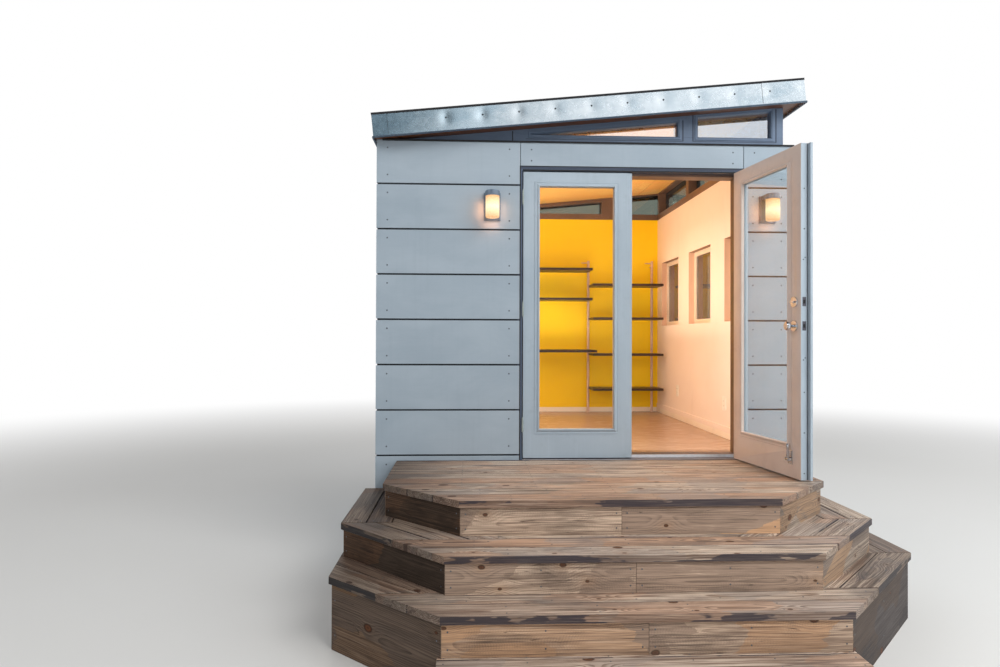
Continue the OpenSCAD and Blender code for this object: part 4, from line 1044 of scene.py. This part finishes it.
# Each front and back sheet is lapped near its ends
on_both_sheets(bm, edge_low + 0.009, LEFT_LAP, 0.0012)
on_both_sheets(bm, RIGHT_LAP, edge_high - 0.009, 0.0012)
stand_in("roof_fascia", bm, ZINC, HEM, name="roof_fascia_zinc")
bm = bmesh.new()
round_the_edge(bm, edge_low + 0.0012, edge_high - 0.0012, fascia_y - 0.0012, sheet_y - 0.001, 0.0078,
               fascia_low + 0.0045, fascia_low + 0.0135)
eased(bm, 0.0022, 3)
piece("roof_edge_hem", bm, HEM, slot=SLOT_OF["roof_fascia"])
bm = bmesh.new()
on_both_sheets(bm, LEFT_LAP, LEFT_LAP + 0.002, 0.0008)
on_both_sheets(bm, RIGHT_LAP - 0.002, RIGHT_LAP, 0.0008)
piece("roof_edge_seams", bm, RUBBER, slot=SLOT_OF["roof_fascia"])
bm = bmesh.new()
drip_top = fascia_top - 0.0002
round_the_edge(bm, edge_low + 0.0062, edge_high - 0.0062, sheet_y + 0.002, sheet_y - 0.002, 0.004,
               drip_top - 0.009, drip_top)
piece("roof_drip_edge", bm, MEMBRANE, slot=SLOT_OF["roof_membrane"])
bm = merged("door_sill")
eased(bm, 0.0008, 2)
for face in bm.faces:
    face.material_index = 1 if face.normal.y < -0.5 else 0
stand_in("door_sill", bm, SILL, SILL_EDGE, name="door_sill_metal")
# The skirting's upper part is painted as the wall behind it
bm = merged("baseboards")
eased(bm, 0.003, 3)
low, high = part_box("baseboards")
skirting_top = low.z + 0.052
bmesh.ops.bisect_plane(bm, geom=bm.verts[:] + bm.edges[:] + bm.faces[:], plane_co=(0, 0, skirting_top),
                       plane_no=(0, 0, 1))
for face in bm.faces:
    at = face.calc_center_median()
    face.material_index = 0 if at.z < skirting_top else 1 if at.y < high.y - 0.014 else 2
stand_in("baseboards", bm, BASE_PAINT, WALL_WARM, WALL_YELLOW, name="baseboards_painted")
dressed("shelf_posts", POST, 0.0008, 2)
dressed("lamp_bodies", LAMP_METAL, 0.0015, 2)
for node in ("door_hinges", "left_leaf_hinges", "right_leaf_hinges"):
    dressed(node, HINGE, 0.0003, 1)
bm = merged("lock_plates")
eased(bm, 0.0003, 1)
for group in islands(bm):
    for face in group:
        face.material_index = 1 if max(e.calc_length() for f in group for e in f.edges) > 0.05 else 0
stand_in("lock_plates", bm, NICKEL, EDGE_PLATE)
for node, ease, steps in (("door_knob", 0.0006, 2), ("thumb_turn", 0.0008, 2), ("holder_bracket", 0.0004, 1),
                          ("holder_arm", 0.0006, 2)):
    dressed(node, NICKEL, ease, steps)

# Frames


def clerestory_room_side(node):
    """Tells which faces of a high frame look into the room."""
    if "right" in node:
        return lambda face: face.calc_center_median().x < 1.40
    return lambda face: abs(face.calc_center_median().y) < 1.46


for node in ("front_clerestory_frame", "back_clerestory_frame", "right_clerestory_frame"):
    two_sided(node, SLATE, SLATE_ROOM, clerestory_room_side(node), 0.001)
bm = merged("window_glass")
# The side panes and the back and right high panes take the panes painted dark; the front corner pane takes
# the painted sky reflection
for face in bm.faces:
    at = face.calc_center_median()
    face.material_index = 1 if at.z < LEDGE_Z else 2 if at.y > -1.40 else 3 if at.x > 0.80 else 0
stand_in("window_glass", bm, SKY_PANE, DARK_PANE, TREE_PANE, BLUE_PANE)
CASING = coated("casing_paint", (68, 81, 101), (78, 92, 112), 0.42, along=(4, 4, 60))
bm = merged("door_frame")
eased(bm, 0.001, 2)
for face in bm.faces:
    at = face.calc_center_median()
    face.material_index = 1 if at.y > -1.499 else 2 if face.normal.y < -0.5 and at.y < FACE_Y + 0.004 else 0
stand_in("door_frame", bm, SLATE_DARK, SLATE_ROOM, CASING)
two_sided("side_window_frames", SLATE, CREAM, lambda face: face.calc_center_median().x < FACE_X - 0.03,
          0.0015)
painted("left_leaf_glass", PANE_LOW)
painted("right_leaf_glass", PANE)

# Glazing stops of the high windows: a lip on the frame's face and a bead down to the glass
STOP = [(0.019, 0.0), (0.019, 0.0036), (0.0165, 0.005), (0.008, 0.005), (0.006, 0.003), (0.003, 0.003),
        (0.0, 0.0045), (-0.0055, -0.006), (-0.0065, -0.029), (0.0, -0.029), (0.0, 0.0)]


def glazing_stops():
    bm = merged("window_glass")
    edges = {"front": [], "back": [], "right": []}
    for group in islands(bm):
        middle = sum((f.calc_center_median() for f in group), Vector()) / len(group)
        if middle.z < LEDGE_Z:
            continue
        side, way = (("right", Vector((1, 0, 0))) if abs(middle.y) < 1.40 and middle.x > 1.3 else
                     ("front", Vector((0, -1, 0))) if middle.y < 0 else ("back", Vector((0, 1, 0))))
        face = max((f for f in group if f.normal.dot(way) > 0.9), key=lambda f: f.calc_area())
        edges[side].append((way, [v.co.copy() for v in face.verts]))
    bm.free()
    for side, panes in edges.items():
        bm = bmesh.new()
        low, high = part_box(side + "_clerestory_frame")
        lines = bmesh.new()
        for way, corners in panes:
            level = high.x if side == "right" else -low.y if side == "front" else high.y
            flat = [c + way * (level - c.dot(way)) for c in corners]
            swept(bm, flat, STOP, way)
            # a dark joint stands beside each upright of the sash, and one runs under it
            beside = Vector((0, 0, 1)).cross(way)
            turn = Matrix((beside, way, Vector((0, 0, 1)))).transposed().to_4x4()
            runs, foot = [c.dot(beside) for c in flat], min(c.z for c in flat)
            block(lines, (min(runs) - 0.036, level - 0.001, foot - 0.030),
                  (max(runs) + 0.036, level + 0.0008, foot - 0.026), turn)
            for run, out in ((min(runs), -1), (max(runs), 1)):
                top = max(c.z for c in flat if abs(c.dot(beside) - run) < 0.002)
                if top - foot > 0.03:
                    near, far = sorted((run + out * 0.029, run + out * 0.038))
                    block(lines, (near, level - 0.001, foot - 0.026),
                          (far, level + 0.0008, top + 0.010), turn)
        bmesh.ops.recalc_face_normals(bm, faces=bm.faces)
        bmesh.ops.recalc_face_normals(lines, faces=lines.faces)
        piece(side + "_glazing_stops", bm, SLATE, slot="slate_paint")
        piece(side + "_sash_joints", lines, SLATE_DARK, slot="slate_paint")


glazing_stops()

# Dark joints round the door frame's casing, dark strips painted as the shadow in the gaps beside the left
# leaf and above the leaves, and the joint where the high panel meets the sash
CASING_LAP = 0.014  # how far the cladding covers the frame
low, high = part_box("door_frame")
left, right, head = low.x + CASING_LAP, high.x - CASING_LAP, high.z
bm = bmesh.new()
for near, far in (((left, low.z), (left + 0.008, head)), ((right - 0.008, low.z), (right, head)),
                  ((left + 0.008, head - 0.007), (right - 0.008, head)),
                  ((low.x + 0.0325, 0.79), (low.x + 0.0348, head - 0.035)),
                  ((low.x + 0.0348, head - 0.0348), (high.x - 0.0348, head - 0.026))):
    block(bm, (near[0], low.y - 0.0006, near[1]), (far[0], low.y + 0.001, far[1]))
# Painted shade: the casing's head is painted darker than its sides
strip = bmesh.new()
block(strip, (left + 0.008, low.y - 0.0005, head - 0.0228), (right - 0.008, low.y + 0.001, head - 0.007))
piece("casing_head_strip", strip, SLATE_DARK, slot="slate_paint")
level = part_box("front_clerestory_frame")[0].y
block(bm, (-0.533, level - 0.0008, LEDGE_Z + 0.004), (-0.526, level + 0.001, 3.094))
piece("frame_joints", bm, RUBBER, slot="slate_paint")

# Door leaves

HINGE_SIDE = Vector(JOINTS["right_door"]["pos_m"])
OPENED = (Matrix.Translation(HINGE_SIDE) @ Matrix.Rotation(math.radians(98), 4, "Z")
          @ Matrix.Translation(-HINGE_SIDE))
CLOSED = OPENED.inverted()
LEAF_LOW, LEAF_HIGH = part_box("left_leaf")
MIDDLE_X = LEAF_HIGH.x + 0.0025


def leaf_piece(node, turn):
    bm = merged(node)
    if turn:
        bmesh.ops.transform(bm, matrix=CLOSED, verts=bm.verts)
    grained(bm, (0, 0, 1))
    eased(bm, 0.0015, 2)
    for face in bm.faces:
        at = face.calc_center_median()
        face.material_index = 1 if at.y > LEAF_HIGH.y - 0.006 else 0
    if turn:
        bmesh.ops.transform(bm, matrix=OPENED, verts=bm.verts)
    return stand_in(node, bm, DOOR_OUT, DOOR_ROOM, name=node + "_painted")


leaf_piece("left_leaf", False)
leaf_piece("right_leaf", True)
leaf_piece("meeting_strip", True)

BEAD = [(0.028, 0.0), (0.028, 0.0024), (0.025, 0.0036), (0.022, 0.0034), (0.020, 0.0014),
        (0.012, 0.0016), (0.0095, 0.0036), (0.006, 0.0068), (0.002, 0.0096), (-0.002, 0.0104),
        (-0.005, 0.0092), (-0.007, 0.004), (-0.0075, -0.0118), (0.0, -0.0118), (0.0, 0.0)]


def glazing_bead(leaf, turn):
    """The raised frame round a leaf's glass, on both faces. The right leaf is the left one, mirrored."""
    low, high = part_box("left_leaf_glass")
    left, right = (2 * MIDDLE_X - high.x, 2 * MIDDLE_X - low.x) if turn else (low.x, high.x)
    sides = ((LEAF_LOW.y, -1, DOOR_OUT, "outer"), (LEAF_HIGH.y, 1, DOOR_ROOM, "room"))
    for y, way, finish, label in sides:
        bm = bmesh.new()
        corners = [Vector((x, y, z)) for x, z in ((left, low.z), (right, low.z), (right, high.z),
                                                  (left, high.z))]
        if way > 0:
            corners.reverse()
        swept(bm, corners, BEAD, Vector((0, way, 0)))
        bmesh.ops.recalc_face_normals(bm, faces=bm.faces)
        if turn:
            bmesh.ops.transform(bm, matrix=OPENED, verts=bm.verts)
        piece(f"{leaf}_{label}_glazing_bead", bm, finish, body=leaf, slot="door_paint")


glazing_bead("left_leaf", False)
glazing_bead("right_leaf", True)

# Lamps

bm = bmesh.new()
low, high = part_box("lamp_shades")
shade_r = (high.y - low.y) / 2
for x in (low.x + shade_r, high.x - shade_r):
    profile = [(shade_r * 0.80, low.z), (shade_r * 0.93, low.z + 0.002), (shade_r * 0.985, low.z + 0.007),
               (shade_r, low.z + 0.014), (shade_r, high.z)]
    turned(bm, profile, 240, Matrix.Translation((x, (low.y + high.y) / 2, 0)), 40, 0.0022)
piece("lamp_shades_ribbed", bm, SHADE, slot="lamp_glass", instead=["lamp_shades"])


# Screws in the cladding and the roof edge


def spots_on(bm, way, pattern):
    """Places on a set of boards, kept where the board's own face is there and looks that way.
    Pattern gives (place along, height) pairs for a board's corners."""
    tree = BVHTree.FromBMesh(bm)
    side = Vector((0, 0, 1)).cross(way)
    found = []
    for group in islands(bm):
        points = {v for f in group for v in f.verts}
        runs = [v.co.dot(side) for v in points]
        heights = [v.co.z for v in points]
        for along, z in pattern(min(runs), max(runs), min(heights), max(heights)):
            start = side * along + Vector((0, 0, z)) + way * 5.0
            hit, normal, _, _ = tree.ray_cast(start, -way)
            if hit is not None and normal.dot(way) > 0.9:
                reach = max(v.co.dot(way) for v in points)
                if abs(hit.dot(way) - reach) < 0.002:
                    found.append((hit, way))
    return found


def cladding_pattern(low, high, foot, top):
    """Two screws near each end of a board, and pairs about 600 mm apart on a long one."""
    ends = [low + 0.076, high - 0.076]
    bays = max(1, round((high - low) / 0.62)) if high - low > 1.3 else 1
    if bays > 1 and high - low > 2.0:
        ends = [ends[0] + (ends[1] - ends[0]) * k / bays for k in range(bays + 1)]
    rows = [foot + 0.057, top - 0.057] if top - foot > 0.16 else [(foot + top) / 2]
    return [(x, z) for x in ends for z in rows]


head = screw_head(0.0056, 0.0016)
for node, way in (("front_cladding", (0, -1, 0)), ("left_cladding", (-1, 0, 0)),
                  ("right_cladding", (1, 0, 0)), ("back_cladding", (0, 1, 0))):
    bm = merged(node)
    spots = spots_on(bm, Vector(way), cladding_pattern)
    bm.free()
    set_heads(node + "_screws", spots, head, SCREW)

# Along the roof edge the screws stand in one row
on_row = EDGE + UP * SCREW_RISE
spots = []
for k in range(10):
    for side in (-1, 1):
        across = Vector((0, side * sheet_y, 0))
        spots.append((on_row + RUN * (SCREW_RUN + SCREW_PITCH * k) + across, Vector((0, side, 0))))
for k in range(13):
    for run, way in ((edge_low + 0.008, -1), (edge_high - 0.008, 1)):
        across = Vector((0, -1.52 + k * 0.2533, 0))
        spots.append((on_row + RUN * (run - START) + across, RUN * way))
set_heads("roof_edge_screws", spots, screw_head(0.0064, 0.0034), DARK_SCREW)


# Nails in the steps: two at each end of a board, and pairs between them on a long one


def nail_spots(bm, upright=False, inset=0.032, spacing=0.406):
    tree = BVHTree.FromBMesh(bm)
    found = []
    for group in islands(bm):
        if upright:
            flat = [f for f in group if abs(f.normal.z) < 0.1 and f.normal.y < 0.1]
        else:
            flat = [f for f in group if f.normal.z > 0.95]
        if not flat:
            continue
        face = max(flat, key=lambda f: f.calc_area())
        longest = max((e for f in flat for e in f.edges), key=lambda e: e.calc_length())
        run = (longest.verts[1].co - longest.verts[0].co).normalized()
        up = face.normal
        across = up.cross(run)
        points = [v.co.copy() for f in flat for v in f.verts]
        runs, sides = [p.dot(run) for p in points], [p.dot(across) for p in points]
        level = max(p.dot(up) for p in points)
        low, high, left, right = min(runs), max(runs), min(sides), max(sides)
        bays = max(1, round((high - low - 2 * inset) / spacing))
        for k in range(bays + 1):
            r = low + inset + (high - low - 2 * inset) * k / bays
            for share in (0.24, 0.76):
                s = left + (right - left) * share
                around = (0, 0), (0.014, 0), (-0.014, 0), (0, 0.012), (0, -0.012)
                starts = [run * (r + a) + across * (s + b) + up * (level + 0.02) for a, b in around]
                hits = [tree.ray_cast(start, -up, 0.04) for start in starts]
                if all(h[0] is not None and h[1].dot(up) > 0.95 for h in hits):
                    found.append((hits[0][0], up.copy()))
    return found


nail = screw_head(0.0042, 0.0009)
for node in ("landing_boards", "second_step_boards", "third_step_boards", "fourth_step_boards"):
    bm = merged(node)
    set_heads(node + "_nails", nail_spots(bm), nail, SCREW)
    bm.free()
bm = merged("step_skirts")
set_heads("step_riser_nails", nail_spots(bm, True, 0.028, 0.55), nail, SCREW)
bm.free()

# The free edge of the open leaf: screws for its strip, and a gasket along the corner
leaf_top, edge_x = LEAF_HIGH.z, MIDDLE_X + 0.0025
middle_y = (LEAF_LOW.y + LEAF_HIGH.y) / 2
spots = []
for share, y in ((0.135, 0.0), (0.255, 0.0), (0.340, -0.006), (0.346, 0.006), (0.638, -0.006), (0.644, 0.006),
                 (0.74, 0.0), (0.86, 0.0), (0.98, 0.0)):
    at = Vector((edge_x, middle_y + y, leaf_top - share * (leaf_top - LEAF_LOW.z)))
    spots.append((OPENED @ at, OPENED.to_3x3() @ Vector((-1, 0, 0))))
set_heads("leaf_edge_screws", spots, screw_head(0.0045, 0.0010), SCREW, body="right_leaf")
bm = bmesh.new()
block(bm, (edge_x - 0.0012, LEAF_LOW.y + 0.0005, LEAF_LOW.z + 0.002),
      (edge_x + 0.001, LEAF_LOW.y + 0.004, leaf_top - 0.002))
bmesh.ops.transform(bm, matrix=OPENED, verts=bm.verts)
piece("leaf_edge_gasket", bm, RUBBER, body="right_leaf", slot="lock_metal")

# Latch mouths in the edge plates of the locks, with a screw above and below each
low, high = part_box("thumb_turn")
bm = bmesh.new()
spots = []
for z in (sum(c.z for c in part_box("door_knob")) / 2, (low.z + high.z) / 2):
    block(bm, (edge_x - 0.0006, middle_y - 0.0075, z - 0.011), (edge_x + 0.001, middle_y + 0.0075, z + 0.011))
    for dz in (-0.021, 0.021):
        at = Vector((edge_x - 0.0002, middle_y, z + dz))
        spots.append((OPENED @ at, OPENED.to_3x3() @ Vector((-1, 0, 0))))
bmesh.ops.transform(bm, matrix=OPENED, verts=bm.verts)
piece("latch_mouths", bm, RUBBER, body="right_leaf", slot="lock_metal")
set_heads("edge_plate_screws", spots, screw_head(0.0032, 0.0005), SCREW, body="right_leaf")

# Two outlets on the right wall
bm = bmesh.new()
wall_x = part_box("right_wall")[0].x
slots = bmesh.new()
for y, z in ((0.622, 1.08), (-0.682, 1.07)):
    block(bm, (wall_x - 0.006, y - 0.035, z - 0.0575), (wall_x + 0.001, y + 0.035, z + 0.0575))
    for dz in (-0.0195, 0.0195):
        block(bm, (wall_x - 0.0078, y - 0.0165, z + dz - 0.0135),
              (wall_x - 0.005, y + 0.0165, z + dz + 0.0135))
        for dy in (-0.0064, 0.0064):
            block(slots, (wall_x - 0.0081, y + dy - 0.001, z + dz - 0.002),
                  (wall_x - 0.0070, y + dy + 0.001, z + dz + 0.007))
eased(bm, 0.0018, 3)
piece("wall_outlets", bm, PLASTIC, slot="white_paint")
piece("wall_outlet_slots", slots, RUBBER, slot="white_paint")


# Studio


def soft_light(name, power, size, place, aim, colour):
    light = bpy.data.lights.new(name, "AREA")
    light.energy, light.shape, light.color, light.spread = power, "RECTANGLE", colour, math.pi
    light.size, light.size_y = size
    lamp = placed(name, light)
    lamp.location = place
    lamp.rotation_euler = (Vector(aim) - Vector(place)).to_track_quat("-Z", "Y").to_euler()
    return lamp


def hidden_light(*values):
    """A light that neither the camera nor a mirror or pane shows."""
    lamp = soft_light(*values)
    lamp.visible_camera = lamp.visible_glossy = lamp.visible_transmission = False


COOL, WARM, EMBER = (0.90, 0.96, 1.0), (1.0, 0.90, 0.76), (1.0, 0.44, 0.22)
key = soft_light("front_window", 528, (6, 4), (4.2, -7.8, 7.5), (0, -1, 1.2), (1.0, 0.985, 0.96))
key.visible_glossy = False
hidden_light("low_front_window", 110, (10, 2), (-0.5, -14, 1.3), (0, -1.6, 1.2), COOL)
hidden_light("side_front_window", 105, (2.5, 2.5), (5.0, -5.5, 3.4), (1.0, -1.6, 1.8), COOL)
soft_light("right_window", 165, (5, 5), (8.5, 0.5, 5.0), (0, 0, 1.5), (0.95, 0.98, 1.0))
soft_light("left_window", 150, (6, 4), (-7.0, -4.5, 6.0), (0, 0, 1.5), (0.94, 0.97, 1.0))
soft_light("back_window", 220, (6, 5), (-2.0, 8.5, 6.0), (0, 0, 1.5), (1.0, 1.0, 1.0))
hidden_light("room_lamp", 6, (2.0, 2.0), (0.1, 0.1, 2.70), (0.1, 0.1, 0), WARM)
hidden_light("ceiling_lamp", 20, (1.8, 1.8), (0.1, 0.2, 1.60), (0.1, 0.2, 4), (1.0, 0.86, 0.66))
hidden_light("doorway_lamp", 21, (2.2, 1.9), (0.1, -1.30, 1.65), (0.1, 1, 1.65), WARM)
hidden_light("left_wall_lamp", 12, (2.2, 1.9), (-1.2, 0.1, 1.65), (1, 0.1, 1.65), WARM)
# Each wall lamp glows on the cladding beside it and below it
GLOWS = ((0.075, (0.02, 0.12), -0.074, -0.01), (0.034, (0.02, 0.12), 0.074, -0.01),
         (0.055, (0.10, 0.02), -0.01, -0.106))
low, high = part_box("lamp_shades")
shade_half, lit_z = (high.y - low.y) / 2, (low.z + high.z) / 2
for side, x in (("left", low.x + shade_half), ("right", high.x - shade_half)):
    for k, (power, size, dx, dz) in enumerate(GLOWS, 1):
        hidden_light(f"{side}_glow_{k}", power, size, (x + dx, -1.60, lit_z + dz),
                     (x + dx * 1.15, FACE_Y, lit_z + dz * 1.15), EMBER)

floor = bpy.data.meshes.new("studio_floor")
floor.from_pydata([(-60, -60, 0), (60, -60, 0), (60, 60, 0), (-60, 60, 0)], [], [(0, 1, 2, 3)])
floor_object = placed("studio_floor", floor)
ground = Finish("studio_floor", 0.9)
place = ground.place()
far = ground.node("VectorMath", {"operation": "LENGTH"}, {0: place}).out("Value")
cloud = ground.noise(place, 0.5, 3.0)
ground.colour = ground.mix(cloud * 0.3, tint(226, 225, 223), tint(216, 214, 210))
ground.show(cloud * 0.1 + 0.85)
paths = ground.node("LightPath")
seen = paths.out("Is Camera Ray").most(paths.out("Is Glossy Ray")).most(paths.out("Is Transmission Ray"))
bright = ground.node("Emission", (), {"Color": (1, 1, 1, 1), "Strength": 1.0})
ground.blend(far.step(4.5, 13.0) * seen, bright)
floor.materials.append(ground.material)

world = bpy.data.worlds.new("studio")
bpy.context.scene.world = world
world.use_nodes = True
sky = world.node_tree
backdrop = sky.nodes["Background"]


def sky_node(kind, name, *values):
    made = sky.nodes.new("ShaderNode" + kind)
    if name:
        made.operation = name
    for index, value in enumerate(values):
        if isinstance(value, (int, float)):
            made.inputs[index].default_value = value
        else:
            sky.links.new(value, made.inputs[index])
    return made.outputs[0]


# Mirrors see a studio that is dim on the left and bright on the right; the eye sees white
path = sky.nodes.new("ShaderNodeLightPath")
seen = sky_node("Math", "MAXIMUM", path.outputs["Is Camera Ray"], path.outputs["Is Transmission Ray"])
aim = sky.nodes.new("ShaderNodeTexCoord")
across = sky.nodes.new("ShaderNodeSeparateXYZ")
sky.links.new(aim.outputs["Generated"], across.inputs[0])
mirrored = sky_node("MapRange", None, across.outputs["X"], -0.09, 0.04, 0.0, 1.22)
mirrored = sky_node("Math", "MULTIPLY", mirrored, path.outputs["Is Glossy Ray"])
plain = sky_node("Math", "MULTIPLY", sky_node("Math", "SUBTRACT", 1.0, path.outputs["Is Glossy Ray"]), 0.32)
level = sky_node("Math", "MAXIMUM", sky_node("Math", "ADD", mirrored, plain), seen)
tone = sky.nodes.new("ShaderNodeMix")
tone.data_type = "RGBA"
sky.links.new(path.outputs["Is Glossy Ray"], tone.inputs["Factor"])
tone.inputs[6].default_value, tone.inputs[7].default_value = (1, 1, 1, 1), (0.97, 0.99, 1.01, 1)
sky.links.new(tone.outputs[2], backdrop.inputs["Color"])
sky.links.new(level, backdrop.inputs["Strength"])

lens = bpy.data.cameras.new("photo_view")
lens.lens, lens.sensor_width, lens.clip_end = 24.535, 36.0, 200.0
camera = placed("photo_view", lens)
camera.matrix_world = (Matrix.Translation((-0.8203, -6.347, 1.6144)) @ Matrix.Rotation(-0.0423, 4, "Z")
                       @ Matrix.Rotation(math.pi / 2 + 0.0072, 4, "X") @ Matrix.Rotation(0.0031, 4, "Z"))
bpy.context.scene.camera = camera
bpy.context.scene.view_settings.view_transform = "Standard"
